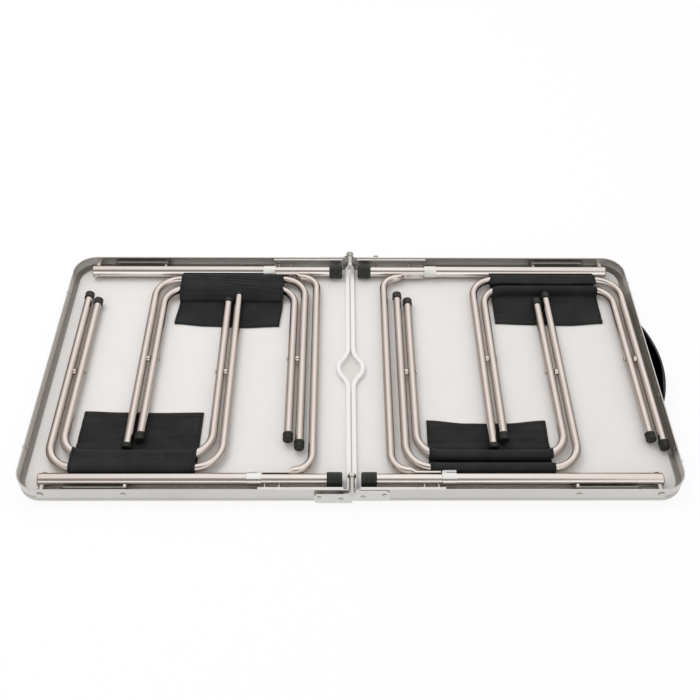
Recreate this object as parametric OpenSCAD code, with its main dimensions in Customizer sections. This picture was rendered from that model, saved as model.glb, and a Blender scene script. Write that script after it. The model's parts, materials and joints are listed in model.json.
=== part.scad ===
// Suitcase folding picnic table with four folding stools stowed in its two trays.
// The table lies open with its top face down: the tabletop faces rest on z = 0, the rims stand up,
// X runs along the table, Y across it, and the fold line is the Y axis above the origin.

/* [Trays] */
// Length of one half, from the fold line to its end wall
half_len = 600; // [590:5:640]
// Width across the table
table_w = 600; // [590:5:640]
// Height of the rim
rim_h = 35; // [35:0.5:40]
// Thickness of the rim's wall
rim_wall = 1.6; // [1.2:0.1:2]
// Outer radius of the tray corners
corner_r = 45; // [40:1:50]
// Height of the proud band along the foot of the rim
skirt_h = 8; // [7:0.5:12]
// How far that band stands proud
skirt_step = 0.5; // [0.3:0.1:0.8]
// Reach of the rim lips that hold the panel
lip_w = 9.5; // [8:0.5:10]
// Thickness of the rim lips
lip_t = 1.2; // [0.8:0.1:1.4]
// Thickness of the table panel
panel_t = 4; // [3:0.1:4.1]
// Half of the gap between the two halves
seam = 1; // [0.5:0.1:1.5]

/* [Fold line] */
// Width of the edging strip along the fold
strip_w = 8.5; // [8:0.5:10]
// Height of the edging strip
strip_h = 15; // [12:0.5:18]
// Half length of the parasol opening
lens_len = 52; // [48:1:60]
// Half width of the parasol opening
lens_w = 20; // [18:0.5:22]
// Radius of the opening's rounded middle
lens_r = 30; // [26:1:32]
// Gap between the closed rims
closed_gap = 0.4; // [0.3:0.1:1]
// Reach of a hinge leaf from the fold line
leaf_len = 67; // [66:1:75]
// Thickness of the hinge leaves
leaf_t = 2; // [1.6:0.1:2.4]
// Spacer between the left wall and its hinge leaf
leaf_stand_off = 4.5; // [4:0.1:6]
// Radius of the hinge ears
ear_r = 7; // [6:0.5:8]
// Diameter of the hinge bolts
hinge_bolt_d = 6; // [5:0.5:7]
// Distance from a side wall to the nuts of the hinge bolts
nut_inset = 32; // [28:1:36]
// Reach of the backing bars inside the walls
backing_len = 167; // [150:1:180]
// Thickness of the backing bars
backing_t = 6; // [2:0.5:6]

/* [Legs] */
// Diameter of the upper leg tubes
upper_d = 25; // [24:0.1:25.4]
// Diameter of the lower leg tubes
lower_d = 22; // [20:0.1:22.2]
// Wall of the leg tubes
leg_wall = 1.2; // [0.8:0.1:1.2]
// Distance from a side wall to the leg axis
leg_inset = 31.5; // [31.5:0.5:34]
// Height of the leg axis in the closed tray
leg_z = 20; // [19.9:0.1:20.4]
// Distance from the end wall to the leg pivot
pivot_inset = 48; // [44:1:52]
// Distance from the fold line to the mouth of the upper tube
mouth_x = 166; // [164:1:180]
// Distance from the fold line to the feet
foot_x = 17; // [15:1:20]
// Length of lower tube inside the upper tube when the leg is in
lower_inside = 224; // [200:1:240]
// Length of a foot
foot_len = 28; // [24:1:30]
// Diameter of a foot
foot_d = 28; // [26:0.5:28.5]
// Outer diameter of the leg collar
collar_d = 27.6; // [27.2:0.1:29]
// Length of the leg collar
collar_len = 26; // [25:1:30]
// Diameter of the U brace tube
brace_d = 16; // [14:0.5:17]
// Distance from the fold line to the middle of the U brace
brace_x = 72; // [68:1:74]
// Bend radius of the U brace
brace_bend = 34; // [30:1:34]
// Distance from the leg pivot to the stay pins
stay_pin = 147; // [130:1:150]
// Width of a stay link
stay_w = 16; // [12:1:18]
// Thickness of a stay link
stay_t = 2.5; // [2:0.1:3]

/* [Stools] */
// Diameter of the stool tubes
stool_d = 16; // [14:0.5:16]
// Wall of the stool tubes
stool_wall = 1.2; // [0.8:0.1:1.5]
// Width of the outer frame between leg axes
outer_w = 318; // [314:1:320]
// Gap between an outer and an inner leg
frame_gap = 5.5; // [5:0.5:8]
// Bend radius of the outer frame
outer_bend = 50; // [45:1:55]
// Bend radius of the inner frame
inner_bend = 45; // [40:1:50]
// Distance from the end wall to the outer leg of the first stool
first_end_gap = 45; // [30:0.5:48]
// Distance from the end wall to the outer leg of the last stool
last_end_gap = 18; // [14:0.5:30]
// Distance from the left U brace to the outer leg of its stool
left_brace_gap = 25; // [20:1:35]
// Distance from the right U brace to the outer leg of its stool
right_brace_gap = 28; // [20:1:35]
// Gap between the stool crossbars and the leg tubes
stool_leg_gap = 5; // [5:0.5:7]
// Distance between the two crossbars of a folded stool
bar_step = 28; // [27:0.5:30]
// Distance between the tips of the outer and inner legs
tip_step = 18; // [16:1:22]
// Distance from the table's middle line to a stool pivot
stool_pivot_y = 17; // [10:1:25]
// Diameter of the rubber caps
cap_d = 20; // [19:0.5:20]
// Length of the rubber caps
cap_len = 16; // [14:1:20]
// Width of the fabric seat
seat_w = 232; // [220:1:234]
// Distance from the table's middle line to the seat's fold
seat_fold_y = 115; // [105:1:125]
// Thickness of the seat fabric
fabric_t = 1.2; // [1:0.1:1.3]

/* [Fittings] */
// Half length of the carry handle
handle_half = 105; // [95:1:115]
// How far the handle stands out
handle_out = 22; // [20:1:26]
// Depth of the finger gap
finger_gap = 14; // [13:0.5:15]
// Half length of the finger gap
finger_half = 72; // [66:1:74]
// Height of the handle's lower face
handle_z = 20; // [18:0.5:20]
// Height of the handle's bar
handle_h = 13; // [10:0.5:14]
// Distance from a side wall to the latches
latch_inset = 101; // [95:1:120]
// Height of the latch rivets and studs
latch_z = 22; // [20:0.5:24]
// Thickness of the latch hooks
hook_t = 2; // [1.6:0.1:2.4]

/* [Hidden] */
$fn = 64;

// Running fit of pins in their holes, on the radius
fit = 0.05;
// Clearance that a moving face keeps from its neighbour
play = 0.3;
eps = 0.01;

// Levels and faces of a tray
lip_top = lip_t + panel_t;
half_w = table_w / 2;
wall_out = half_w - skirt_step;
wall_in = wall_out - rim_wall;
end_out = half_len - skirt_step;
bead_w = 2.2;
bead_h = 1.6;
panel_inset = skirt_step + rim_wall + play;
strip_half = half_w - lip_w - skirt_step;
strip_reach = lens_w + 2 * strip_w;
groove_d = 2.2;

// Fold axis and hinge
fold_z = rim_h + closed_gap / 2;
lens_a = 2 * atan((lens_w - seam) / lens_len);
lens_r2 = lens_len / sin(lens_a) - lens_r;
arc_n = 10;
inner_rivet = [20, 15];
outer_rivet = [58, 20.5];
rivet_r = 2;
leaf_face = half_w;
left_leaf_face = leaf_face + leaf_stand_off;
ear_notch = ear_r + 1;
backing_x = 15;
backing_z = lip_top + lip_t + play;
backing_top = rim_h - bead_h - play;
plunger_r = 2.5;
plunger_hole = outer_rivet;

// Legs
leg_y = half_w - leg_inset;
leg_r = upper_d / 2;
lower_r = lower_d / 2;
bore_r = leg_r - leg_wall;
pivot_x = half_len - pivot_inset;
tube_past_pivot = 7;
leg_pin_r = 3;
lower_start = foot_x + 3;
lower_end = mouth_x + lower_inside;
collar_x = mouth_x - 4;
collar_r = collar_d / 2;
brace_r = brace_d / 2;
plate_t = 3.5;
plate_w = 14;
plate_y = leg_y - lower_r;
plate_end = collar_x - 1;
brace_flat = 11;
brace_y = plate_y - brace_r;
brace_rivet_x = [130, 156];
brace_rivet_r = 2.5;
rivet_tail = 9;
stay_x = pivot_x - stay_pin;
stay_len = stay_pin / sqrt(2);
wall_stay_y = wall_in - 3.4;
leg_stay_y = wall_stay_y - stay_t - 2;
stay_head = 0.8;
clamp_r = 15;
clamp_w = 5.6;
clamp_blade = 8;
clamp_t = 2.4;
clamp_len = 22;
clamp_x = mouth_x;
clamp_pin_r = 1;

// Stools
tube_r = stool_d / 2;
stool_z = leg_z;
bar_y = leg_y - leg_r - stool_leg_gap - tube_r;
tip_y = bar_y - bar_step - tube_r - 6;
inner_w = outer_w - 2 * (stool_d + frame_gap);
stool_x = [first_end_gap + outer_w / 2 - half_len, -(brace_x + left_brace_gap + outer_w / 2),
    brace_x + right_brace_gap + outer_w / 2, half_len - last_end_gap - outer_w / 2];
bar_side = [-1, 1, -1, 1];
stud_r = 3;
spacer_r = 6.5;
seat_reach = [9, 0, -9, -6];
sleeve_in = tube_r + play;
sleeve_out = sleeve_in + fabric_t;
outer_sleeve = outer_w / 2 - outer_bend - 2;
inner_sleeve = inner_w / 2 - inner_bend - 2;
flap_low = lip_top + 0.4;
flap_gap = 0.5;
cap_wall_end = 2.5;

// Handle and latches
screw_y = 77;
screw_z = handle_z + 4;
screw_r = 2;
latch_y = half_w - latch_inset;
hook_x = end_out + 1.5;
hook_reach = 2 * (fold_z - latch_z);
hook_pin_r = 2.5;
hook_w = 11;

module at_side(s) {
    mirror([s < 0 ? 1 : 0, 0, 0]) children();
}

// A cylinder along Y between two distances from the middle line, on the front or back side
module y_pin(x, z, r, y0, y1, side) {
    translate([x, side * y0, z]) rotate([side > 0 ? -90 : 90, 0, 0]) cylinder(h = y1 - y0, r = r);
}

// A cylinder along X
module x_pin(x0, x1, y, z, r) {
    translate([x0, y, z]) rotate([0, 90, 0]) cylinder(h = x1 - x0, r = r);
}

// Plan of the right half, set in from its edges, square at the fold line
module tray_plan(inset, fold_x) {
    r = corner_r - inset;
    x1 = half_len - inset;
    y1 = half_w - inset;
    translate([fold_x, -y1]) square([x1 - r - fold_x, 2 * y1]);
    translate([fold_x, r - y1]) square([x1 - fold_x, 2 * (y1 - r)]);
    for (side = [-1, 1]) translate([x1 - r, side * (y1 - r)]) circle(r);
}

// Three-sided band between two insets and two heights
module rim_band(inset0, inset1, z0, z1) {
    translate([0, 0, z0]) linear_extrude(z1 - z0) difference() {
        tray_plan(inset0, seam);
        tray_plan(inset1, seam - 1);
    }
}

module rim_body() {
    difference() {
        union() {
            rim_band(0, skirt_step + rim_wall, 0, skirt_h);
            rim_band(skirt_step, skirt_step + rim_wall, 0, rim_h);
            rim_band(skirt_step, lip_w + skirt_step, 0, lip_t);
            rim_band(skirt_step, lip_w, lip_top, lip_top + lip_t);
            rim_band(skirt_step, skirt_step + bead_w, rim_h - bead_h, rim_h);
        }
        for (side = [-1, 1]) {
            y_pin(0, fold_z, ear_notch, wall_in - 5, half_w + 5, side);
            y_pin(pivot_x, leg_z, leg_pin_r + fit, wall_in - 1, half_w + 1, side);
            y_pin(stay_x, leg_z, leg_pin_r + fit, wall_in - 1, half_w + 1, side);
            y_pin(inner_rivet[0], inner_rivet[1], rivet_r + fit, wall_in - 1, half_w + 1, side);
            y_pin(outer_rivet[0], outer_rivet[1], plunger_r + fit, wall_in - 1, half_w + 1, side);
            x_pin(half_len - 5, half_len + 5, side * latch_y, latch_z, hook_pin_r + fit);
        }
    }
}

module left_rim() {
    color("silver") at_side(-1) rim_body();
}

module right_rim() {
    color("silver") difference() {
        rim_body();
        for (side = [-1, 1]) x_pin(half_len - 5, half_len + 5, side * screw_y, screw_z, screw_r + fit);
    }
}

// Points along the fold edge of the right half, set out by d from the edge of the opening
function fold_edge(d) = concat(
    [[seam + d, -half_w]],
    [for (i = [0 : arc_n]) let (a = lens_a * i / arc_n)
        [seam + lens_r2 - (lens_r2 - d) * cos(a), -lens_len + (lens_r2 - d) * sin(a)]],
    [for (i = [1 : 2 * arc_n - 1]) let (a = -lens_a + lens_a * i / arc_n)
        [lens_w - lens_r + (lens_r + d) * cos(a), (lens_r + d) * sin(a)]],
    [for (i = [arc_n : -1 : 0]) let (a = lens_a * i / arc_n)
        [seam + lens_r2 - (lens_r2 - d) * cos(a), lens_len - (lens_r2 - d) * sin(a)]],
    [[seam + d, half_w]]);

// Everything on the fold side of that edge
module fold_side(d) {
    polygon(concat([[-strip_reach, -half_w]], fold_edge(d), [[-strip_reach, half_w]]));
}

module panel_body() {
    translate([0, 0, lip_t]) linear_extrude(panel_t) difference() {
        tray_plan(panel_inset, -1);
        fold_side(groove_d + play);
    }
}

module left_panel() {
    color("whitesmoke") at_side(-1) panel_body();
}

module right_panel() {
    color("whitesmoke") panel_body();
}

module strip_body() {
    difference() {
        linear_extrude(strip_h) intersection() {
            difference() {
                fold_side(strip_w);
                fold_side(0);
            }
            translate([0, play - strip_half]) square([strip_reach, 2 * (strip_half - play)]);
        }
        translate([0, 0, lip_t]) linear_extrude(panel_t) difference() {
            translate([0, -half_w]) square([strip_reach, table_w]);
            fold_side(groove_d);
        }
    }
}

module left_fold_strip() {
    color("ivory") at_side(-1) strip_body();
}

module right_fold_strip() {
    color("ivory") strip_body();
}

// Hinge leaf in the XZ plane: a long plate with an ear at the fold axis
module leaf_plan(top, hole_r) {
    difference() {
        union() {
            polygon([[0, 3], [leaf_len - 5, 3], [leaf_len, 8], [leaf_len, top - 4], [leaf_len - 4, top],
                [15, top], [2, fold_z + 2], [0, fold_z + 2]]);
            translate([0, fold_z]) circle(ear_r);
        }
        translate([0, fold_z]) circle(hinge_bolt_d / 2 + fit);
        translate(inner_rivet) circle(rivet_r + fit);
        translate(outer_rivet) circle(hole_r + fit);
    }
}

module backing_plan(hole_r) {
    difference() {
        translate([backing_x, backing_z]) square([backing_len - backing_x, backing_top - backing_z]);
        translate(inner_rivet) circle(rivet_r + fit);
        translate(outer_rivet) circle(hole_r + fit);
    }
}

// Stands a plan drawn in XZ on the front or back side, from y0 outwards
module wall_plate(y0, t, side) {
    mirror([0, side > 0 ? 0 : 1, 0]) translate([0, y0 + t, 0]) rotate([90, 0, 0])
        linear_extrude(t) children();
}

module left_hinge_plates() {
    color("gainsboro") at_side(-1) for (side = [-1, 1]) {
        wall_plate(left_leaf_face, leaf_t, side) leaf_plan(rim_h - 5, rivet_r);
        wall_plate(wall_in - backing_t, backing_t, side) backing_plan(rivet_r);
    }
}

module right_hinge_plates() {
    color("gainsboro") for (side = [-1, 1]) {
        hole_r = side > 0 ? plunger_r : rivet_r;
        wall_plate(leaf_face, leaf_t, side) leaf_plan(rim_h - 1, hole_r);
        wall_plate(wall_in - backing_t, backing_t, side) backing_plan(hole_r);
    }
}

// Rivet that holds a hinge leaf, the wall and the backing plate together
module hinge_rivet(at, leaf_y, side) {
    y_pin(at[0], at[1], 3.5, wall_in - backing_t - 1.3, wall_in - backing_t, side);
    y_pin(at[0], at[1], rivet_r, wall_in - backing_t - eps, leaf_y + leaf_t + eps, side);
    y_pin(at[0], at[1], 5, wall_out, leaf_y, side);
    y_pin(at[0], at[1], 4.5, leaf_y + leaf_t, leaf_y + leaf_t + 1.3, side);
}

// Pin that carries a leg: through the wall, a shoulder, and across the leg tube
module pivot_pin(side) {
    y_pin(pivot_x, leg_z, 6, wall_out, wall_out + 2, side);
    y_pin(pivot_x, leg_z, leg_pin_r, leg_y - leg_r - play - 1, wall_out + eps, side);
    y_pin(pivot_x, leg_z, 6, leg_y + leg_r + play, wall_in, side);
    y_pin(pivot_x, leg_z, 5, leg_y - leg_r - play - 1.5, leg_y - leg_r - play, side);
}

// Pin that carries the wall stay
module stay_wall_pin(side) {
    y_pin(stay_x, leg_z, 5, wall_out, wall_out + 1.5, side);
    y_pin(stay_x, leg_z, leg_pin_r, wall_stay_y - stay_t - stay_head, wall_out + eps, side);
    y_pin(stay_x, leg_z, 5, wall_stay_y + 0.2, wall_in, side);
    y_pin(stay_x, leg_z, 4.2, wall_stay_y - stay_t - stay_head, wall_stay_y - stay_t - 0.1, side);
}

module left_rivets() {
    color("lightgray") at_side(-1) for (side = [-1, 1]) {
        pivot_pin(side);
        stay_wall_pin(side);
        hinge_rivet(inner_rivet, left_leaf_face, side);
        hinge_rivet(outer_rivet, left_leaf_face, side);
    }
}

module right_rivets() {
    color("lightgray") for (side = [-1, 1]) {
        pivot_pin(side);
        stay_wall_pin(side);
        hinge_rivet(inner_rivet, leaf_face, side);
        if (side < 0) hinge_rivet(outer_rivet, leaf_face, side);
        x_pin(end_out - rim_wall - 1.2, end_out - rim_wall, side * latch_y, latch_z, 4);
        x_pin(end_out - rim_wall - eps, hook_x + hook_t + 0.2, side * latch_y, latch_z, hook_pin_r);
        x_pin(end_out, hook_x - 0.1, side * latch_y, latch_z, 4.5);
        x_pin(hook_x + hook_t + 0.1, hook_x + hook_t + 1.3, side * latch_y, latch_z, 5);
    }
}

module latch_studs() {
    color("lightgray") at_side(-1) for (side = [-1, 1]) {
        x_pin(end_out - rim_wall - 1.2, end_out - rim_wall, side * latch_y, latch_z, 4);
        x_pin(end_out - rim_wall - eps, hook_x + hook_t + 0.5, side * latch_y, latch_z, hook_pin_r);
        x_pin(end_out, hook_x - play, side * latch_y, latch_z, 4.5);
        x_pin(hook_x + hook_t + play, hook_x + hook_t + 1.5, side * latch_y, latch_z, 4.5);
    }
}

// Hook that turns on its rivet and drops over the stud of the other tray
module latch_hook(side) {
    color("darkgray") translate([hook_x, side * latch_y, latch_z]) mirror([0, side > 0 ? 0 : 1, 0])
        rotate([90, 0, 90]) {
            linear_extrude(hook_t) difference() {
                union() {
                    circle(hook_w / 2 + 1);
                    translate([0, -hook_w / 2]) square([hook_reach + 4, hook_w]);
                    translate([hook_reach + 4, 0]) circle(hook_w / 2);
                }
                circle(hook_pin_r + fit);
                translate([hook_reach, 0]) circle(hook_pin_r + play);
                translate([hook_reach - hook_pin_r - play, 0]) square([2 * (hook_pin_r + play), hook_w]);
            }
            translate([hook_reach + 5, -hook_w / 2 + 1, hook_t - eps]) cube([2, hook_w - 2, 3]);
        }
}

module latch_hook_front() {
    latch_hook(-1);
}

module latch_hook_back() {
    latch_hook(1);
}

// Pivot bolts on the fold axis: low heads outside in front, domed heads behind, nuts inside the rim
module hinge_bolts() {
    head_y = left_leaf_face + leaf_t + 0.1;
    nut_y = half_w - nut_inset;
    color("silver") for (side = [-1, 1]) {
        y_pin(0, fold_z, hinge_bolt_d / 2, nut_y, head_y + 1, side);
        y_pin(0, fold_z, hinge_bolt_d / 2 + 2, nut_y + 5, leaf_face - 0.1, side);
        y_pin(0, fold_z, ear_r - 0.5, leaf_face + leaf_t + 0.1, left_leaf_face - 0.1, side);
        translate([0, side * nut_y, fold_z]) rotate([side > 0 ? -90 : 90, 0, 0])
            cylinder(h = 6, r = hinge_bolt_d / 2 + 5, $fn = 6);
        if (side < 0) y_pin(0, fold_z, ear_r, head_y, head_y + 1.6, side);
        if (side > 0) {
            y_pin(0, fold_z, 8, head_y, head_y + 2, side);
            intersection() {
                translate([0, head_y - 5, fold_z]) sphere(11);
                y_pin(0, fold_z, 8, head_y + 1, head_y + 10, side);
            }
        }
    }
}

module lock_knob() {
    x = outer_rivet[0];
    z = outer_rivet[1];
    neck = leaf_face + leaf_t + 8;
    color("dimgray") {
        y_pin(x, z, plunger_r, wall_in - backing_t - 5, neck, 1);
        y_pin(x, z, 4, leaf_face + leaf_t + play, neck, 1);
        y_pin(x, z, 7, neck - eps, neck + 3, 1);
        intersection() {
            translate([x, neck, z]) sphere(8);
            y_pin(x, z, 6.2, neck + 2, neck + 9, 1);
        }
    }
}

module carry_handle() {
    outer_r = (handle_half * handle_half + handle_out * handle_out) / (2 * handle_out);
    gap_r = (finger_half * finger_half + finger_gap * finger_gap) / (2 * finger_gap);
    color("black") difference() {
        translate([0, 0, handle_z]) linear_extrude(handle_h) difference() {
            intersection() {
                translate([end_out + handle_out - outer_r, 0]) circle(outer_r, $fn = 200);
                translate([end_out, -handle_half]) square([handle_out + 1, 2 * handle_half]);
            }
            translate([end_out + finger_gap - gap_r, 0]) circle(gap_r, $fn = 200);
        }
        for (side = [-1, 1]) x_pin(end_out - 1, end_out + 7, side * screw_y, screw_z, screw_r + fit);
    }
}

module handle_screws() {
    color("lightgray") for (side = [-1, 1]) {
        x_pin(end_out - rim_wall - 1.6, end_out - rim_wall, side * screw_y, screw_z, 4);
        x_pin(end_out - rim_wall - eps, end_out + 6, side * screw_y, screw_z, screw_r);
    }
}

// Legs of one side: the right-hand shapes, mirrored for the left
module upper_legs(s) {
    color("silver") at_side(s) for (side = [-1, 1]) {
        difference() {
            x_pin(mouth_x, pivot_x + tube_past_pivot, side * leg_y, leg_z, leg_r);
            x_pin(mouth_x - 1, pivot_x + tube_past_pivot + 1, side * leg_y, leg_z, bore_r);
            y_pin(pivot_x, leg_z, leg_pin_r + fit, leg_y - leg_r - 1, leg_y + leg_r + 1, side);
        }
        // stud that the leg stay turns on
        y_pin(stay_x, leg_z, 5, leg_y + leg_r - 1, leg_stay_y - stay_t - 0.2, side);
        y_pin(stay_x, leg_z, leg_pin_r, leg_y + leg_r - 1, leg_stay_y + stay_head, side);
        y_pin(stay_x, leg_z, 4.2, leg_stay_y + 0.1, leg_stay_y + stay_head, side);
    }
}

// Puts a shape drawn along X at the leg's upper inner corner, where Z points away from the leg axis
module clamp_place(side) {
    translate([0, side * leg_y, leg_z]) rotate([side * 45, 0, 0]) children();
}

module leg_collars(s) {
    color("white") at_side(s) for (side = [-1, 1]) {
        difference() {
            union() {
                x_pin(collar_x, collar_x + collar_len, side * leg_y, leg_z, collar_r);
                clamp_place(side) translate([clamp_x - 3, -4.8, 12]) cube([7, 9.6, 3.9]);
            }
            x_pin(mouth_x, collar_x + collar_len + 1, side * leg_y, leg_z, leg_r);
            x_pin(collar_x - 1, mouth_x + 1, side * leg_y, leg_z, lower_r + fit);
            clamp_place(side) translate([clamp_x - 4, -clamp_w / 2 - 0.2, leg_r + 0.4])
                cube([9, clamp_w + 0.4, 10]);
            clamp_place(side) translate([clamp_x, -8, clamp_r])
                rotate([-90, 0, 0]) cylinder(h = 16, r = clamp_pin_r + fit);
        }
    }
}

// Cam lever that locks the lower tube
module clamp(s, side) {
    color("white") at_side(s) clamp_place(side) {
        translate([clamp_x, -clamp_w / 2, clamp_r]) rotate([-90, 0, 0]) cylinder(h = clamp_w, r = 1.9);
        translate([clamp_x, -4.6, clamp_r]) rotate([-90, 0, 0]) cylinder(h = 9.2, r = clamp_pin_r);
        translate([clamp_x, -clamp_w / 2, clamp_r]) cube([clamp_len, clamp_w, clamp_t - 0.5]);
        translate([clamp_x + 5, -clamp_blade / 2, clamp_r])
            cube([clamp_len - 5, clamp_blade, clamp_t - 0.5]);
    }
}

module lower_legs(s) {
    color("silver") at_side(s) for (side = [-1, 1]) difference() {
        x_pin(lower_start, lower_end, side * leg_y, leg_z, lower_r);
        x_pin(lower_start - 1, lower_end + 1, side * leg_y, leg_z, lower_r - leg_wall);
        for (x = brace_rivet_x)
            y_pin(x, leg_z, brace_rivet_r + fit, leg_y - lower_r - 1, leg_y + lower_r + 1, side);
    }
}

module feet(s) {
    color("black") at_side(s) for (side = [-1, 1]) difference() {
        x_pin(foot_x, foot_x + foot_len, side * leg_y, leg_z, foot_d / 2);
        x_pin(lower_start, foot_x + foot_len + 1, side * leg_y, leg_z, lower_r);
        for (i = [1 : 3])
            translate([foot_x + foot_len * i / 4, side * leg_y, leg_z]) rotate([0, 90, 0])
                rotate_extrude() translate([foot_d / 2, 0]) circle(0.5);
    }
}

// U brace between the two lower tubes, with flattened ends
module leg_brace(s) {
    run = brace_y - brace_bend;
    color("silver") at_side(s) difference() {
        union() {
            y_pin(brace_x, leg_z, brace_r, 0, run, 1);
            y_pin(brace_x, leg_z, brace_r, 0, run, -1);
            for (side = [-1, 1]) {
                translate([brace_x + brace_bend, side * run, leg_z])
                    rotate([0, 0, side > 0 ? 90 : 180]) rotate_extrude(angle = 90)
                        translate([brace_bend, 0]) circle(brace_r);
                hull() {
                    x_pin(brace_x + brace_bend - eps, brace_x + brace_bend + 0.5, side * brace_y, leg_z,
                        brace_r, $fn = 32);
                    translate([brace_x + brace_bend + brace_flat, side * (plate_y - plate_t / 2), leg_z])
                        cube([1, plate_t, plate_w], center = true);
                }
                translate([brace_x + brace_bend + brace_flat, side * (plate_y - plate_t / 2) - plate_t / 2,
                    leg_z - plate_w / 2])
                    cube([plate_end - brace_x - brace_bend - brace_flat, plate_t, plate_w]);
            }
        }
        for (side = [-1, 1], x = brace_rivet_x)
            y_pin(x, leg_z, brace_rivet_r + fit, plate_y - plate_t - 1, plate_y + 1, side);
    }
}

module brace_rivets(s) {
    color("lightgray") at_side(s) for (side = [-1, 1], x = brace_rivet_x) {
        y_pin(x, leg_z, 4.5, plate_y - plate_t - 0.8, plate_y - plate_t, side);
        y_pin(x, leg_z, brace_rivet_r, plate_y - plate_t - eps, leg_y + lower_r + rivet_tail, side);
        y_pin(x, leg_z, 3.6, leg_y + lower_r + rivet_tail - 2, leg_y + lower_r + rivet_tail, side);
    }
}

// Flat link in the XZ plane, from its pin at the origin outwards
module stay_plan(hole_r, end_hole_r) {
    difference() {
        union() {
            translate([0, -stay_w / 2]) square([stay_len, stay_w]);
            circle(stay_w / 2);
            translate([stay_len, 0]) circle(stay_w / 2);
        }
        circle(hole_r);
        translate([stay_len, 0]) circle(end_hole_r);
    }
}

module wall_stays(s) {
    color("silver") at_side(s) for (side = [-1, 1])
        wall_plate(wall_stay_y - stay_t, stay_t, side)
            translate([stay_x, leg_z]) stay_plan(leg_pin_r + fit, leg_pin_r);
}

module leg_stays(s) {
    color("silver") at_side(s) for (side = [-1, 1]) {
        wall_plate(leg_stay_y - stay_t, stay_t, side)
            translate([stay_x, leg_z]) stay_plan(leg_pin_r + fit, leg_pin_r - eps);
        y_pin(stay_x + stay_len, leg_z, leg_pin_r, leg_stay_y - stay_t - stay_head, leg_stay_y + 1.6, side);
        y_pin(stay_x + stay_len, leg_z, 4.5, leg_stay_y - stay_t - stay_head, leg_stay_y - stay_t, side);
        y_pin(stay_x + stay_len, leg_z, 5, leg_stay_y, leg_stay_y + 1.6, side);
    }
}

// Centre line solid of a U: two legs along Y and a bent crossbar at -bar
module u_solid(w, bend, bar, tip, r) {
    for (sx = [-1, 1]) {
        translate([sx * w / 2, bend - bar, 0]) rotate([-90, 0, 0]) cylinder(h = tip + bar - bend, r = r);
        translate([sx * (w / 2 - bend), bend - bar, 0]) rotate([0, 0, sx > 0 ? -90 : 180])
            rotate_extrude(angle = 90) translate([bend, 0]) circle(r);
    }
    translate([bend - w / 2, -bar, 0]) rotate([0, 90, 0]) cylinder(h = w - 2 * bend, r = r);
}

module u_tube(w, bend, bar, tip) {
    difference() {
        u_solid(w, bend, bar, tip, tube_r);
        u_solid(w, bend, bar, tip + 1, tube_r - stool_wall);
    }
}

// Places a stool drawn with its crossbars at -Y
module stool_place(n) {
    translate([stool_x[n - 1], 0, stool_z]) mirror([0, bar_side[n - 1] > 0 ? 1 : 0, 0]) children();
}

module outer_frame(n) {
    color("silver") stool_place(n) {
        u_tube(outer_w, outer_bend, bar_y, tip_y - cap_wall_end);
        // studs that carry the inner frame
        for (sx = [-1, 1]) {
            stud_in = sx * (inner_w / 2 - tube_r - 2);
            gap_in = sx * (inner_w / 2 + tube_r + play);
            out = sx * (outer_w / 2 - tube_r + 1);
            x_pin(min(stud_in, out), max(stud_in, out), -stool_pivot_y, 0, stud_r);
            x_pin(min(gap_in, out), max(gap_in, out), -stool_pivot_y, 0, spacer_r);
            x_pin(min(stud_in, stud_in + sx * 1.7), max(stud_in, stud_in + sx * 1.7), -stool_pivot_y, 0, 4.6);
        }
    }
}

module inner_frame(n) {
    color("silver") stool_place(n) difference() {
        u_tube(inner_w, inner_bend, bar_y - bar_step, tip_y - tip_step - cap_wall_end);
        x_pin(-inner_w, inner_w, -stool_pivot_y, 0, stud_r + fit);
    }
}

// Rubber caps over both tips of a frame
module caps(w, tip) {
    for (sx = [-1, 1]) translate([sx * w / 2, tip, 0]) rotate([90, 0, 0]) difference() {
        cylinder(h = cap_len, r = cap_d / 2);
        translate([0, 0, cap_wall_end]) cylinder(h = cap_len, r = tube_r);
    }
}

module stool_outer_caps(first) {
    color("black") for (n = [first, first + 1]) stool_place(n) caps(outer_w, tip_y);
}

module inner_caps(n) {
    color("black") stool_place(n) caps(inner_w, tip_y - tip_step);
}

// Sleeve round a crossbar with the half of the folded seat that hangs from it
module seat_half(n, bar, sleeve, low) {
    flap_z = low - stool_z;
    difference() {
        union() {
            x_pin(-sleeve, sleeve, -bar, 0, sleeve_out);
            translate([-sleeve, -bar - 2, flap_z + eps]) cube([2 * sleeve, 4, -flap_z]);
        }
        x_pin(-sleeve - 1, sleeve + 1, -bar, 0, sleeve_in);
    }
    translate([-seat_w / 2, -bar - 2, flap_z])
        cube([seat_w, bar + 2 - seat_fold_y + seat_reach[n - 1], fabric_t]);
}

module seat_outer(n) {
    color("#222222") stool_place(n) seat_half(n, bar_y, outer_sleeve, flap_low);
}

module seat_inner(n) {
    color("#222222") stool_place(n)
        seat_half(n, bar_y - bar_step, inner_sleeve, flap_low + fabric_t + flap_gap);
}

left_rim();
left_panel();
left_fold_strip();
left_hinge_plates();
left_rivets();
latch_studs();
right_rim();
right_panel();
right_fold_strip();
right_hinge_plates();
right_rivets();
hinge_bolts();
carry_handle();
handle_screws();
latch_hook_front();
latch_hook_back();
lock_knob();
upper_legs(-1);  // left_upper_legs
leg_collars(-1);  // left_leg_collars
lower_legs(-1);  // left_lower_legs
feet(-1);  // left_feet
leg_brace(-1);  // left_leg_brace
brace_rivets(-1);  // left_brace_rivets
wall_stays(-1);  // left_wall_stays
leg_stays(-1);  // left_leg_stays
clamp(-1, -1);  // left_clamp_front
clamp(-1, 1);  // left_clamp_back
upper_legs(1);  // right_upper_legs
leg_collars(1);  // right_leg_collars
lower_legs(1);  // right_lower_legs
feet(1);  // right_feet
leg_brace(1);  // right_leg_brace
brace_rivets(1);  // right_brace_rivets
wall_stays(1);  // right_wall_stays
leg_stays(1);  // right_leg_stays
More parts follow.
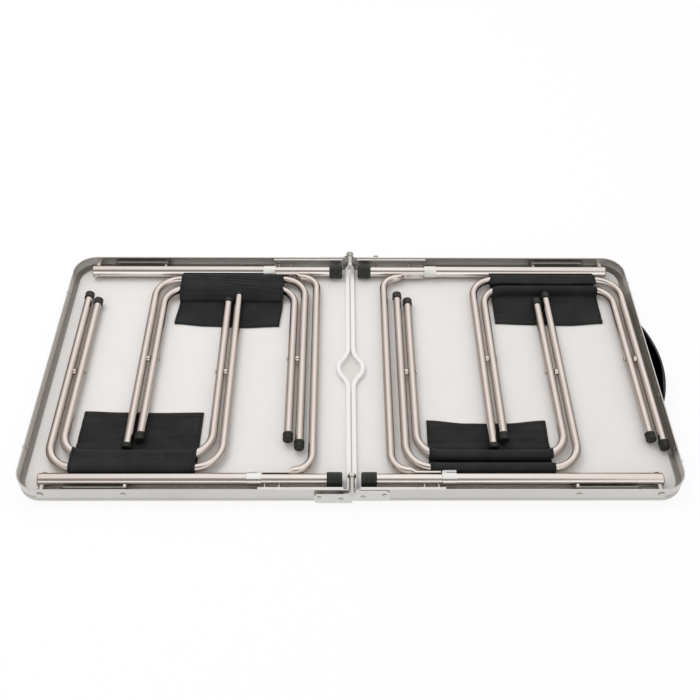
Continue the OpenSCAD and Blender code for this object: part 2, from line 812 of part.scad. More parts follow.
clamp(1, -1);  // right_clamp_front
clamp(1, 1);  // right_clamp_back
stool_outer_caps(1);  // left_stool_outer_caps
stool_outer_caps(3);  // right_stool_outer_caps
outer_frame(1);  // stool_1_outer_frame
inner_frame(1);  // stool_1_inner_frame
inner_caps(1);  // stool_1_inner_caps
seat_outer(1);  // stool_1_seat_outer
seat_inner(1);  // stool_1_seat_inner
outer_frame(2);  // stool_2_outer_frame
inner_frame(2);  // stool_2_inner_frame
inner_caps(2);  // stool_2_inner_caps
seat_outer(2);  // stool_2_seat_outer
seat_inner(2);  // stool_2_seat_inner
outer_frame(3);  // stool_3_outer_frame
inner_frame(3);  // stool_3_inner_frame
inner_caps(3);  // stool_3_inner_caps
seat_outer(3);  // stool_3_seat_outer
seat_inner(3);  // stool_3_seat_inner
outer_frame(4);  // stool_4_outer_frame
inner_frame(4);  // stool_4_inner_frame
inner_caps(4);  // stool_4_inner_caps
seat_outer(4);  // stool_4_seat_outer
seat_inner(4);  // stool_4_seat_inner
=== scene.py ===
"""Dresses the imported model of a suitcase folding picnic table.

The table lies open with its top face down, and its legs and four folding stools are stowed in its two trays.
X runs along the table, Y across it, and Z points up. Every length is in metres unless a name or docstring
says millimetres.
"""

import json
import logging
import math
from collections.abc import Callable, Iterable, Sequence
from dataclasses import dataclass, field
from enum import Enum

import bmesh
import bpy
from mathutils import Matrix, Vector, noise

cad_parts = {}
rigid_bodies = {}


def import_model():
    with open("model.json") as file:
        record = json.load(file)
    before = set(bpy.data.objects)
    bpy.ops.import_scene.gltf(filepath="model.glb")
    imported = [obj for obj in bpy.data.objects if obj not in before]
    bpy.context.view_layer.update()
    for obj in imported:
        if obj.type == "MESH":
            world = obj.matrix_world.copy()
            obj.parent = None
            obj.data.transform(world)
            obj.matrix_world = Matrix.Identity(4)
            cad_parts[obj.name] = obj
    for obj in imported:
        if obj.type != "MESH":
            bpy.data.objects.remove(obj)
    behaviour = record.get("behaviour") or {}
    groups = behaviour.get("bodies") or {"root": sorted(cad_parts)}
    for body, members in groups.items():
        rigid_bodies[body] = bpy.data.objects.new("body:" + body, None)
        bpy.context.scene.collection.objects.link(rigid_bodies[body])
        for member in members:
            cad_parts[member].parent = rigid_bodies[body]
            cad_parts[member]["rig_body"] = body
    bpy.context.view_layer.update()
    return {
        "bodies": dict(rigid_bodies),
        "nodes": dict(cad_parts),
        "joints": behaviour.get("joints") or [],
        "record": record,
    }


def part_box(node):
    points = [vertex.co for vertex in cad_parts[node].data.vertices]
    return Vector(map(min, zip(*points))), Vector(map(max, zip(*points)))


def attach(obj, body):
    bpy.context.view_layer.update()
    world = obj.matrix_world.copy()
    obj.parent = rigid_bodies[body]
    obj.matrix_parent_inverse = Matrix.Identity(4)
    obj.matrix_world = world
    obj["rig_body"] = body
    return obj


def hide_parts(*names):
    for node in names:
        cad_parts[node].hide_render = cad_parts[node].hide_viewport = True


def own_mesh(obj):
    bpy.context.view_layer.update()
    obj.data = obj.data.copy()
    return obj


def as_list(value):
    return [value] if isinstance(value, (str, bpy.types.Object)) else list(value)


MM = 0.001
log = logging.getLogger("folding_table")

Colour = tuple[float, float, float, float]


def linear(code: str) -> Colour:
    """Turns an sRGB hex value into the linear colour that a shader takes.

    Args:
        code: Colour such as "#c8c2bc".

    Returns:
        Red, green, blue and an alpha of 1.
    """

    def channel(text: str) -> float:
        """Linear value of one pair of hex digits."""
        value = int(text, 16) / 255
        return value / 12.92 if value <= 0.04045 else ((value + 0.055) / 1.055) ** 2.4

    digits = code.lstrip("#")
    return channel(digits[0:2]), channel(digits[2:4]), channel(digits[4:6]), 1.0


def add_node(
    tree: bpy.types.NodeTree,
    kind: str,
    links: dict[str | int, object] | None = None,
    **settings: object,
) -> bpy.types.Node:
    """Adds one node with its settings and links.

    Args:
        tree: Node tree that takes the node.
        kind: Blender's identifier of the node.
        links: A value or an output socket for each input, by the input's name or number.
        settings: Values of the node's own properties.

    Returns:
        The new node.
    """
    node = tree.nodes.new(kind)
    for name, value in settings.items():
        setattr(node, name, value)
    for name, value in (links or {}).items():
        if isinstance(value, bpy.types.NodeSocket):
            tree.links.new(value, node.inputs[name])
        else:
            node.inputs[name].default_value = value
    return node


def smooth_step(low: float, high: float, value: float) -> float:
    """Runs smoothly from 0 at low to 1 at high."""
    share = min(1.0, max(0.0, (value - low) / (high - low)))
    return share * share * (3 - 2 * share)


class Side(Enum):
    """Half of the open table."""

    LEFT = "left"
    RIGHT = "right"


class Half(Enum):
    """Half of a seat, after the frame of the stool that it hangs from."""

    OUTER = "outer"
    INNER = "inner"


class Grain(Enum):
    """Direction in which a drawn or extruded surface carries its lines."""

    ALONG_X = 0
    ALONG_Y = 1
    LEVEL = 2

    def stretch(self, along: float, across: float) -> tuple[float, float, float]:
        """Scales for a pattern that is long with the grain and fine across it.

        Args:
            along: Length of a line of the pattern.
            across: Distance between two lines.

        Returns:
            Scale on X, Y and Z.
        """
        if self is Grain.LEVEL:
            return 1 / along, 1 / along, 1 / across
        scales = [1 / across] * 3
        scales[self.value] = 1 / along
        return scales[0], scales[1], scales[2]


@dataclass(frozen=True)
class Finish:
    """A surface finish with one base colour."""

    name: str
    colour: str
    metallic: float
    roughness: float

    def material(self) -> bpy.types.Material:
        """Gives the finish's material, which is made the first time.

        Returns:
            The material.
        """
        made = bpy.data.materials.get(self.name)
        if made is None:
            made = bpy.data.materials.new(self.name)
            made.use_nodes = True
            tree = made.node_tree
            shader = tree.nodes["Principled BSDF"]
            shader.inputs["Base Color"].default_value = linear(self.colour)
            shader.inputs["Metallic"].default_value = self.metallic
            shader.inputs["Roughness"].default_value = self.roughness
            self.dress(tree, shader)
        return made

    def dress(self, tree: bpy.types.NodeTree, shader: bpy.types.Node) -> None:
        """Adds the nodes of the finish's own pattern."""

    def tint(
        self,
        tree: bpy.types.NodeTree,
        shader: bpy.types.Node,
        pattern: bpy.types.NodeSocket,
        other: str,
    ) -> bpy.types.NodeSocket:
        """Lets a pattern turn the base colour towards another one.

        Args:
            tree: Node tree of the material.
            shader: Its surface shader.
            pattern: How far the colour turns, from 0 to 1.
            other: Colour that it turns towards.

        Returns:
            The mixed colour.
        """
        mixed = add_node(
            tree,
            "ShaderNodeMix",
            {0: pattern, 6: linear(self.colour), 7: linear(other)},
            data_type="RGBA",
        )
        tree.links.new(mixed.outputs[2], shader.inputs["Base Color"])
        return mixed.outputs[2]

    def spread(
        self,
        tree: bpy.types.NodeTree,
        shader: bpy.types.Node,
        pattern: bpy.types.NodeSocket,
        low: float,
        high: float,
    ) -> None:
        """Lets a pattern set the roughness between two values.

        Args:
            tree: Node tree of the material.
            shader: Its surface shader.
            pattern: What sets the roughness.
            low: Roughness where the pattern is weak.
            high: Roughness where it is strong.
        """
        ranged = add_node(
            tree,
            "ShaderNodeMapRange",
            {"Value": pattern, "From Min": 0.3, "From Max": 0.7, "To Min": low, "To Max": high},
        )
        tree.links.new(ranged.outputs[0], shader.inputs["Roughness"])

    def relief(
        self,
        tree: bpy.types.NodeTree,
        shader: bpy.types.Node,
        height: bpy.types.NodeSocket,
        depth: float,
        strength: float,
    ) -> None:
        """Lets a pattern raise the surface.

        Args:
            tree: Node tree of the material.
            shader: Its surface shader.
            height: The pattern.
            depth: Height of the relief in metres.
            strength: Share of the relief that is seen.
        """
        bump = add_node(
            tree, "ShaderNodeBump", {"Height": height, "Distance": depth, "Strength": strength}
        )
        tree.links.new(bump.outputs[0], shader.inputs["Normal"])


@dataclass(frozen=True)
class DrawnTube(Finish):
    """Welded steel tube, nickel plated over a drawn and buffed surface.

    Buffing leaves faint lines along the tube, so reflections break into long soft streaks.
    """

    darker: str
    grain: Grain
    edge: str = "#8d8681"
    line_mm: float = 1.3
    line_length_mm: float = 90.0

    def dress(self, tree: bpy.types.NodeTree, shader: bpy.types.Node) -> None:
        """Draws the buffing lines and the slow change in the plating.

        Args:
            tree: Node tree of the material.
            shader: Its surface shader.
        """
        # Nickel's edge tint is set much darker than nickel's own, so the tube darkens where it is seen
        # almost from its side: painted shade for the dark outlines along the tubes.
        shader.inputs["Specular Tint"].default_value = linear(self.edge)
        place = add_node(tree, "ShaderNodeTexCoord").outputs["Object"]
        stretch = self.grain.stretch(self.line_length_mm * MM, self.line_mm * MM)
        lines = add_node(
            tree,
            "ShaderNodeTexNoise",
            {
                "Vector": add_node(
                    tree, "ShaderNodeMapping", {"Vector": place, "Scale": stretch}
                ).outputs[0],
                "Scale": 1.0,
                "Detail": 3.0,
                "Roughness": 0.6,
            },
        ).outputs[0]
        clouds = add_node(
            tree, "ShaderNodeTexNoise", {"Vector": place, "Scale": 1 / (60 * MM), "Detail": 2.0}
        ).outputs[0]
        self.tint(tree, shader, clouds, self.darker)
        self.spread(tree, shader, lines, self.roughness - 0.03, self.roughness + 0.05)
        self.relief(tree, shader, lines, 0.008 * MM, 0.3)


@dataclass(frozen=True)
class ExtrudedAluminium(Finish):
    """Extruded aluminium, satin anodised.

    The die leaves fine lines along the profile, and the anodising spreads its highlights wide. The groove
    band
    and the inner line are painted shade: darker bands of colour that stand in for the shade in grooves. Each
    is given by the height of its middle and half its width, and the inner faces by their reach along and
    across the table.
    """

    darker: str
    line_mm: float = 0.9
    painted_groove_shade: str = "#a5a29e"
    painted_groove_shade_mm: tuple[float, float] = (6.6, 1.0)
    painted_inner_shade: str = "#86817d"
    painted_inner_shade_mm: tuple[float, float] = (13.0, 1.3)
    inner_face_mm: tuple[float, float] = (599.2, 299.2)

    def dress(self, tree: bpy.types.NodeTree, shader: bpy.types.Node) -> None:
        """Draws the die lines, level all round, a slow change in tone, and the painted groove shade and
        inner shade line.

        Args:
            tree: Node tree of the material.
            shader: Its surface shader.
        """
        place = add_node(tree, "ShaderNodeTexCoord").outputs["Object"]
        stretch = Grain.LEVEL.stretch(400 * MM, self.line_mm * MM)
        lines = add_node(
            tree,
            "ShaderNodeTexNoise",
            {
                "Vector": add_node(
                    tree, "ShaderNodeMapping", {"Vector": place, "Scale": stretch}
                ).outputs[0],
                "Scale": 1.0,
                "Detail": 2.0,
            },
        ).outputs[0]
        clouds = add_node(
            tree, "ShaderNodeTexNoise", {"Vector": place, "Scale": 1 / (120 * MM), "Detail": 3.0}
        ).outputs[0]
        plain = self.tint(tree, shader, clouds, self.darker)
        across, along, level = add_node(tree, "ShaderNodeSeparateXYZ", {0: place}).outputs
        # Painted shade: the groove band runs round the outside and the inside, and the inner shade line only
        # on the inner faces.
        painted_groove_shade, line, *faces = (
            add_node(
                tree, "ShaderNodeMath", {0: way, 1: middle * MM, 2: half * MM}, operation="COMPARE"
            ).outputs[0]
            for way, middle, half in (
                (level, *self.painted_groove_shade_mm),
                (level, *self.painted_inner_shade_mm),
                (across, 0.0, self.inner_face_mm[0]),
                (along, 0.0, self.inner_face_mm[1]),
            )
        )
        shaded = add_node(
            tree, "ShaderNodeMix", {0: painted_groove_shade, 6: plain, 7: linear(self.painted_groove_shade)}, data_type="RGBA"
        )
        for face in faces:
            line = add_node(
                tree, "ShaderNodeMath", {0: line, 1: face}, operation="MULTIPLY"
            ).outputs[0]
        with_painted_inner_shade = add_node(
            tree,
            "ShaderNodeMix",
            {0: line, 6: shaded.outputs[2], 7: linear(self.painted_inner_shade)},
            data_type="RGBA",
        )
        tree.links.new(with_painted_inner_shade.outputs[2], shader.inputs["Base Color"])
        self.spread(tree, shader, lines, self.roughness - 0.05, self.roughness + 0.08)
        self.relief(tree, shader, lines, 0.015 * MM, 0.3)


@dataclass(frozen=True)
class PlatedSteel(Finish):
    """Pressed steel with bright zinc or nickel plating.

    The plating bath leaves soft mottling and very fine grit.
    """

    darker: str
    mottle_mm: float = 9.0

    def dress(self, tree: bpy.types.NodeTree, shader: bpy.types.Node) -> None:
        """Draws the mottling and the grit.

        Args:
            tree: Node tree of the material.
            shader: Its surface shader.
        """
        place = add_node(tree, "ShaderNodeTexCoord").outputs["Object"]
        mottle = add_node(
            tree,
            "ShaderNodeTexNoise",
            {"Vector": place, "Scale": 1 / (self.mottle_mm * MM), "Detail": 4.0},
        ).outputs[0]
        grit = add_node(
            tree, "ShaderNodeTexNoise", {"Vector": place, "Scale": 1 / (0.8 * MM), "Detail": 2.0}
        ).outputs[0]
        self.tint(tree, shader, mottle, self.darker)
        self.spread(tree, shader, mottle, self.roughness - 0.06, self.roughness + 0.08)
        self.relief(tree, shader, grit, 0.01 * MM, 0.3)


@dataclass(frozen=True)
class LaminatedBoard(Finish):
    """Thin fibreboard with a pale melamine face.

    The press leaves a slight orange peel, and the paper under the resin a faint clouding.
    """

    darker: str
    peel_mm: float = 2.2

    def dress(self, tree: bpy.types.NodeTree, shader: bpy.types.Node) -> None:
        """Draws the clouding of the paper and the orange peel of the press.

        Args:
            tree: Node tree of the material.
            shader: Its surface shader.
        """
        place = add_node(tree, "ShaderNodeTexCoord").outputs["Object"]
        paper = add_node(
            tree,
            "ShaderNodeTexNoise",
            {"Vector": place, "Scale": 1 / (60 * MM), "Detail": 5.0, "Roughness": 0.6},
        ).outputs[0]
        peel = add_node(
            tree,
            "ShaderNodeTexNoise",
            {"Vector": place, "Scale": 1 / (self.peel_mm * MM), "Detail": 2.0},
        ).outputs[0]
        self.tint(tree, shader, paper, self.darker)
        self.spread(tree, shader, paper, self.roughness - 0.05, self.roughness + 0.06)
        self.relief(tree, shader, peel, 0.02 * MM, 0.25)


@dataclass(frozen=True)
class MouldedPlastic(Finish):
    """Injection moulded or extruded plastic, with the grain of its tool on it."""

    darker: str
    grain_mm: float = 0.8
    grain_depth_mm: float = 0.02

    def dress(self, tree: bpy.types.NodeTree, shader: bpy.types.Node) -> None:
        """Draws the tool's grain and a slight change in tone.

        Args:
            tree: Node tree of the material.
            shader: Its surface shader.
        """
        place = add_node(tree, "ShaderNodeTexCoord").outputs["Object"]
        skin = add_node(
            tree,
            "ShaderNodeTexNoise",
            {"Vector": place, "Scale": 1 / (self.grain_mm * MM), "Detail": 3.0},
        ).outputs[0]
        flow = add_node(
            tree, "ShaderNodeTexNoise", {"Vector": place, "Scale": 1 / (18 * MM), "Detail": 2.0}
        ).outputs[0]
        self.tint(tree, shader, flow, self.darker)
        self.spread(tree, shader, flow, self.roughness - 0.06, self.roughness + 0.08)
        self.relief(tree, shader, skin, self.grain_depth_mm * MM, 0.5)


@dataclass(frozen=True)
class WovenPolyester(Finish):
    """Black polyester canvas in a plain weave, coated on its back.

    Each thread catches a little light, so the cloth has a dull sheen and greys where it is creased.
    The threads are drawn at 1.1 mm, about twice the real spacing, so that they show.
    """

    lighter: str
    width_mm: float
    thread: str = "#070808"
    thread_mm: float = 1.1
    hem_mm: float = 6.0
    stitch_mm: float = 3.4

    def dress(self, tree: bpy.types.NodeTree, shader: bpy.types.Node) -> None:
        """Draws the weave, the hems and their stitching on the cloth's own map.

        Args:
            tree: Node tree of the material.
            shader: Its surface shader.
        """
        shader.inputs["Sheen Weight"].default_value = 0.08
        shader.inputs["Sheen Roughness"].default_value = 0.4
        shader.inputs["Specular IOR Level"].default_value = 0.3
        cloth = add_node(tree, "ShaderNodeUVMap", uv_map="cloth").outputs[0]
        parts = add_node(tree, "ShaderNodeSeparateXYZ", {0: cloth})
        # A sine band of the wave texture repeats every 2 pi / 20 of its scaled coordinate.
        pitch = 2 * math.pi / 20 / (self.thread_mm * MM)
        warp, weft = (
            add_node(
                tree,
                "ShaderNodeTexWave",
                {"Vector": cloth, "Scale": pitch, "Distortion": 0.4, "Detail": 1.0},
                wave_type="BANDS",
                bands_direction=way,
            ).outputs[0]
            for way in ("X", "Y")
        )
        weave = add_node(tree, "ShaderNodeMath", {0: warp, 1: weft}, operation="MULTIPLY").outputs[0]
        # The map's zero is the middle of the cloth, and the hems run along its side edges.
        half = self.width_mm * MM / 2
        from_middle = add_node(
            tree, "ShaderNodeMath", {0: parts.outputs[0]}, operation="ABSOLUTE"
        ).outputs[0]
        hem = add_node(
            tree,
            "ShaderNodeMapRange",
            {
                "Value": from_middle,
                "From Min": half - (self.hem_mm + 0.6) * MM,
                "From Max": half - self.hem_mm * MM,
            },
        ).outputs[0]
        seam = add_node(
            tree,
            "ShaderNodeMath",
            {0: from_middle, 1: half - (self.hem_mm - 1.4) * MM, 2: 0.8 * MM},
            operation="COMPARE",
        ).outputs[0]
        dashes = add_node(
            tree,
            "ShaderNodeMath",
            {
                0: add_node(
                    tree,
                    "ShaderNodeMath",
                    {
                        0: add_node(
                            tree,
                            "ShaderNodeMath",
                            {0: parts.outputs[1], 1: 1 / (self.stitch_mm * MM)},
                            operation="MULTIPLY",
                        ).outputs[0]
                    },
                    operation="FRACT",
                ).outputs[0],
                1: 0.72,
            },
            operation="LESS_THAN",
        ).outputs[0]
        stitches = add_node(
            tree, "ShaderNodeMath", {0: seam, 1: dashes}, operation="MULTIPLY"
        ).outputs[0]
        # Lighter patches at random: partly uneven tone of the cloth, partly painted sheen where it catches
        # more light.
        sheen_mottle = add_node(
            tree,
            "ShaderNodeTexNoise",
            {"Vector": cloth, "Scale": 1 / (45 * MM), "Detail": 6.0, "Roughness": 0.5},
        ).outputs[0]
        worn = add_node(
            tree,
            "ShaderNodeMapRange",
            {"Value": sheen_mottle, "From Min": 0.35, "From Max": 0.7},
        ).outputs[0]
        plain = self.tint(tree, shader, worn, self.lighter)
        sewn = add_node(
            tree,
            "ShaderNodeMix",
            {0: stitches, 6: plain, 7: linear(self.thread)},
            data_type="RGBA",
        ).outputs[2]
        tree.links.new(sewn, shader.inputs["Base Color"])
        height = add_node(
            tree,
            "ShaderNodeMath",
            {
                0: add_node(
                    tree, "ShaderNodeMath", {0: weave, 1: 0.25}, operation="MULTIPLY"
                ).outputs[0],
                1: add_node(tree, "ShaderNodeMath", {0: hem, 1: stitches}, operation="ADD").outputs[
                    0
                ],
            },
            operation="ADD",
        ).outputs[0]
        self.relief(tree, shader, height, 0.5 * MM, 0.7)


LEG_TUBE = DrawnTube("nickel_leg_tube", "#dfd9d5", 1.0, 0.15, "#d6cfca", Grain.ALONG_X)
STOOL_TUBE = DrawnTube("nickel_stool_tube", "#ddd6d2", 1.0, 0.17, "#d2cac5", Grain.ALONG_Y)
RIM = ExtrudedAluminium("anodised_rim", "#d4d2cf", 1.0, 0.36, "#c9c6c2")
HINGE_PLATE = PlatedSteel("zinc_plate", "#dcdcd9", 1.0, 0.36, "#cccbc7")
# The stays' zinc is coloured darker than the plates' as painted shade for the shadowed gap between legs and
# wall.
SHADED_STAY_BAR = PlatedSteel("zinc_stay_painted_shade", "#a3a19d", 1.0, 0.42, "#92908b")
FASTENER = PlatedSteel("nickel_fastener", "#d6d3cf", 1.0, 0.24, "#bcb8b3", 4.0)
DARK_KNOB = PlatedSteel("dark_knob", "#b5b1ad", 1.0, 0.3, "#96928e", 5.0)
BOARD = LaminatedBoard("melamine_board", "#eeebe8", 0.0, 0.45, "#e8e4e1")
EDGING = MouldedPlastic("vinyl_edging", "#f2f1ef", 0.0, 0.34, "#ecebe8", 1.4, 0.01)
NYLON = MouldedPlastic("white_nylon", "#f0efec", 0.0, 0.28, "#e6e5e1", 1.0, 0.01)
PLUG = MouldedPlastic("grey_plug", "#77726d", 0.0, 0.4, "#6b6661", 1.0, 0.01)
RUBBER = MouldedPlastic("black_rubber", "#131513", 0.0, 0.5, "#1b1d1b", 0.9, 0.05)
GRIP = MouldedPlastic("black_grip", "#101213", 0.0, 0.4, "#181a1b", 0.9, 0.04)
CANVAS = WovenPolyester("black_canvas", "#1d1e1e", 0.0, 0.8, "#292a2a", 230.0)


@dataclass(frozen=True)
class Ease:
    """How the edges of a rigid part are broken.

    The width is in millimetres.
    """

    width: float = 0.3
    segments: int = 2
    convex_only: bool = False
    from_angle: float = 32.0


@dataclass
class Shop:
    """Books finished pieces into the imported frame."""

    frame: dict
    made: int = 0

    def body_of(self, node: str) -> str:
        """Name of the body that a CAD node rides on."""
        return self.frame["nodes"][node]["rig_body"]

    def solid_copy(self, node: str) -> bmesh.types.BMesh:
        """Copies a CAD node's mesh with its corners joined and its flat faces whole.

        Args:
            node: CAD node.

        Returns:
            The copy.
        """
        solid = bmesh.new()
        solid.from_mesh(self.frame["nodes"][node].data)
        bmesh.ops.remove_doubles(solid, verts=solid.verts, dist=0.004 * MM)
        bmesh.ops.dissolve_limit(
            solid, angle_limit=math.radians(0.3), verts=solid.verts, edges=solid.edges
        )
        return solid

    def solids(self, node: str) -> list[tuple[Vector, Vector]]:
        """Finds the box of each separate solid of a CAD node.

        Args:
            node: CAD node.

        Returns:
            Lowest and highest corner of each, in order along the table.
        """
        solid = self.solid_copy(node)
        left = set(solid.verts)
        boxes = []
        while left:
            ring = [left.pop()]
            found = list(ring)
            while ring:
                near = {e.other_vert(v) for v in ring for e in v.link_edges} & left
                left -= near
                found += near
                ring = list(near)
            corners = [v.co for v in found]
            boxes.append(
                (
                    Vector([min(c[i] for c in corners) for i in range(3)]),
                    Vector([max(c[i] for c in corners) for i in range(3)]),
                )
            )
        solid.free()
        return sorted(boxes, key=lambda pair: tuple(round(c, 5) for c in pair[0]))

    def book(
        self,
        solid: bmesh.types.BMesh,
        name: str,
        finish: Finish,
        slot: str,
        body: str,
        replaces: Sequence[str] = (),
        crisp: float = 50.0,
    ) -> bpy.types.Object:
        """Turns a finished mesh into a piece of the table.

        Args:
            solid: Mesh in place, which is freed.
            name: Name of the piece.
            finish: Its surface finish.
            slot: Not used.
            body: Body that it rides on.
            replaces: CAD nodes that it stands for.
            crisp: Angle in degrees from which an edge stays sharp.

        Returns:
            The piece.
        """
        for face in solid.faces:
            face.smooth = True
        for edge in solid.edges:
            edge.smooth = not edge.is_manifold or edge.calc_face_angle(0.0) < math.radians(crisp)
        mesh = bpy.data.meshes.new(name)
        solid.to_mesh(mesh)
        solid.free()
        mesh.materials.append(finish.material())
        piece = bpy.data.objects.new(name, mesh)
        bpy.context.scene.collection.objects.link(piece)
        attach(piece, body)
        if replaces:
            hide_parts(*replaces)
        self.made += 1
        log.info("%s: %d faces, rides on %s", name, len(mesh.polygons), body)
        return piece

    def ease(self, node: str, finish: Finish, slot: str, ease: Ease = Ease()) -> bpy.types.Object:
        """Replaces a rigid CAD node by the same part with its edges broken.

        Args:
            node: CAD node.
            finish: Surface finish.
            slot: Material slot of the record.
            ease: How the edges are broken.

        Returns:
            The piece.
        """
        solid = self.solid_copy(node)
        limit = math.radians(ease.from_angle)
        sharp = []
        for edge in solid.edges:
            turn = edge.calc_face_angle_signed(0.0) if edge.is_manifold else 0.0
            if turn > limit or (turn < -limit and not ease.convex_only):
                sharp.append(edge)
        bmesh.ops.bevel(
            solid,
            geom=sharp,
            offset=ease.width * MM,
            offset_type="OFFSET",
            segments=ease.segments,
            profile=0.5,
            affect="EDGES",
            material=-1,
            clamp_overlap=False,
        )
        piece = self.book(solid, f"{node}_part", finish, slot, self.body_of(node), [node])
        flat = piece.modifiers.new("flat_faces", "WEIGHTED_NORMAL")
        flat.keep_sharp = True
        return piece

    def finish_node(self, node: str, finish: Finish) -> None:
        """Gives a CAD node that is shown as it is its finish.

        Args:
            node: CAD node.
            finish: Surface finish.
        """
        shown = self.frame["nodes"][node]
        shown.data.materials.clear()
        shown.data.materials.append(finish.material())
        log.info("%s: CAD node with %s", node, finish.name)


def turn(
    solid: bmesh.types.BMesh,
    profile: Iterable[tuple[float, float]],
    origin: Vector,
    axis: Vector,
    steps: int = 48,
) -> None:
    """Turns a profile round an axis into a closed solid.

    Args:
        solid: Mesh that takes the solid.
        profile: Radius and distance along the axis in millimetres, with both ends on the axis.
        origin: Point from which distances along the axis are measured.
        axis: Direction of the axis.
        steps: Facets in a full turn.
    """
    along = axis.normalized()
    side = along.orthogonal().normalized()
    corners = [solid.verts.new(origin + side * r * MM + along * h * MM) for r, h in profile]
    edges = [solid.edges.new(pair) for pair in zip(corners, corners[1:])]
    bmesh.ops.spin(
        solid,
        geom=corners + edges,
        cent=origin,
        axis=along,
        angle=2 * math.pi,
        steps=steps,
        use_merge=True,
    )
    bmesh.ops.remove_doubles(solid, verts=solid.verts, dist=0.001 * MM)
    bmesh.ops.recalc_face_normals(solid, faces=solid.faces)


def corner_arc(
    radius: float, height: float, size: float, outer: bool = True, steps: int = 5
) -> list[tuple[float, float]]:
    """Quarter round at an end of a turned profile.

    Args:
        radius: Outer radius of the profile in millimetres.
        height: Distance along the axis of the flat end.
        size: Radius of the round.
        outer: Whether the end face looks along the axis.
        steps: Segments of the round.

    Returns:
        Points from the flat end out to the side, or back again.
    """
    points = []
    for i in range(steps + 1):
        a = math.pi / 2 * i / steps
        points.append((radius - size + size * math.sin(a), height - size + size * math.cos(a)))
    return points if outer else points[::-1]


def cloth_grid(
    width: float,
    length: float,
    across: int,
    along: int,
    place: Callable[[float, float], Vector],
) -> bmesh.types.BMesh:
    """Makes a sheet of cloth from a flat cut, with its map in metres.

    Args:
        width: Width of the flat cut.
        length: Length of the flat cut.
        across: Squares across its width.
        along: Squares along its length.
        place: Where a point of the cut, given from its corner, goes.

    Returns:
        The sheet's mesh.
    """
    sheet = bmesh.new()
    bmesh.ops.create_grid(sheet, x_segments=across, y_segments=along, size=0.5)
    cut = {v: ((v.co.x + 0.5) * width, (v.co.y + 0.5) * length) for v in sheet.verts}
    chart = sheet.loops.layers.uv.new("cloth")
    for face in sheet.faces:
        for loop in face.loops:
            u, w = cut[loop.vert]
            loop[chart].uv = (u - width / 2, w)
    for v, (u, w) in cut.items():
        v.co = place(u, w)
    return sheet


@dataclass
class Trays:
    """The two trays of the case: rims, boards, edging and what is riveted to the walls."""

    shop: Shop
    rim_ease: Ease = Ease(0.5, 3)
    strip_ease: Ease = Ease(1.4, 4, True, 50.0)
    plate_ease: Ease = Ease(0.35)
    rivet_ease: Ease = Ease(0.8, 3, True, 60.0)

    def build(self) -> None:
        """Makes both trays."""
        for side in (each.value for each in Side):
            self.shop.ease(f"{side}_rim", RIM, "rim", self.rim_ease)
            self.shop.finish_node(f"{side}_panel", BOARD)
            self.shop.ease(f"{side}_fold_strip", EDGING, "strip", self.strip_ease)
            self.shop.ease(f"{side}_hinge_plates", HINGE_PLATE, "plate", self.plate_ease)
            self.shop.ease(f"{side}_rivets", FASTENER, "fastener", self.rivet_ease)
        self.shop.ease("latch_studs", FASTENER, "fastener", self.rivet_ease)
        self.shop.ease("hinge_bolts", FASTENER, "fastener", Ease(0.5, 2, True, 50.0))
        self.shop.ease("lock_knob", DARK_KNOB, "knob", Ease(0.4, 2, True, 50.0))
        for end in ("front", "back"):
            self.shop.ease(f"latch_hook_{end}", HINGE_PLATE, "hook", Ease(0.3))


@dataclass
class Handle:
    """The moulded carry handle and its two screws."""

    shop: Shop
    grip_ease: Ease = Ease(3.0, 4, True, 50.0)

    def build(self) -> None:
        """Makes the handle."""
        self.shop.ease("carry_handle", GRIP, "handle", self.grip_ease)
        self.shop.ease("handle_screws", FASTENER, "fastener", Ease(0.5, 2, True, 60.0))


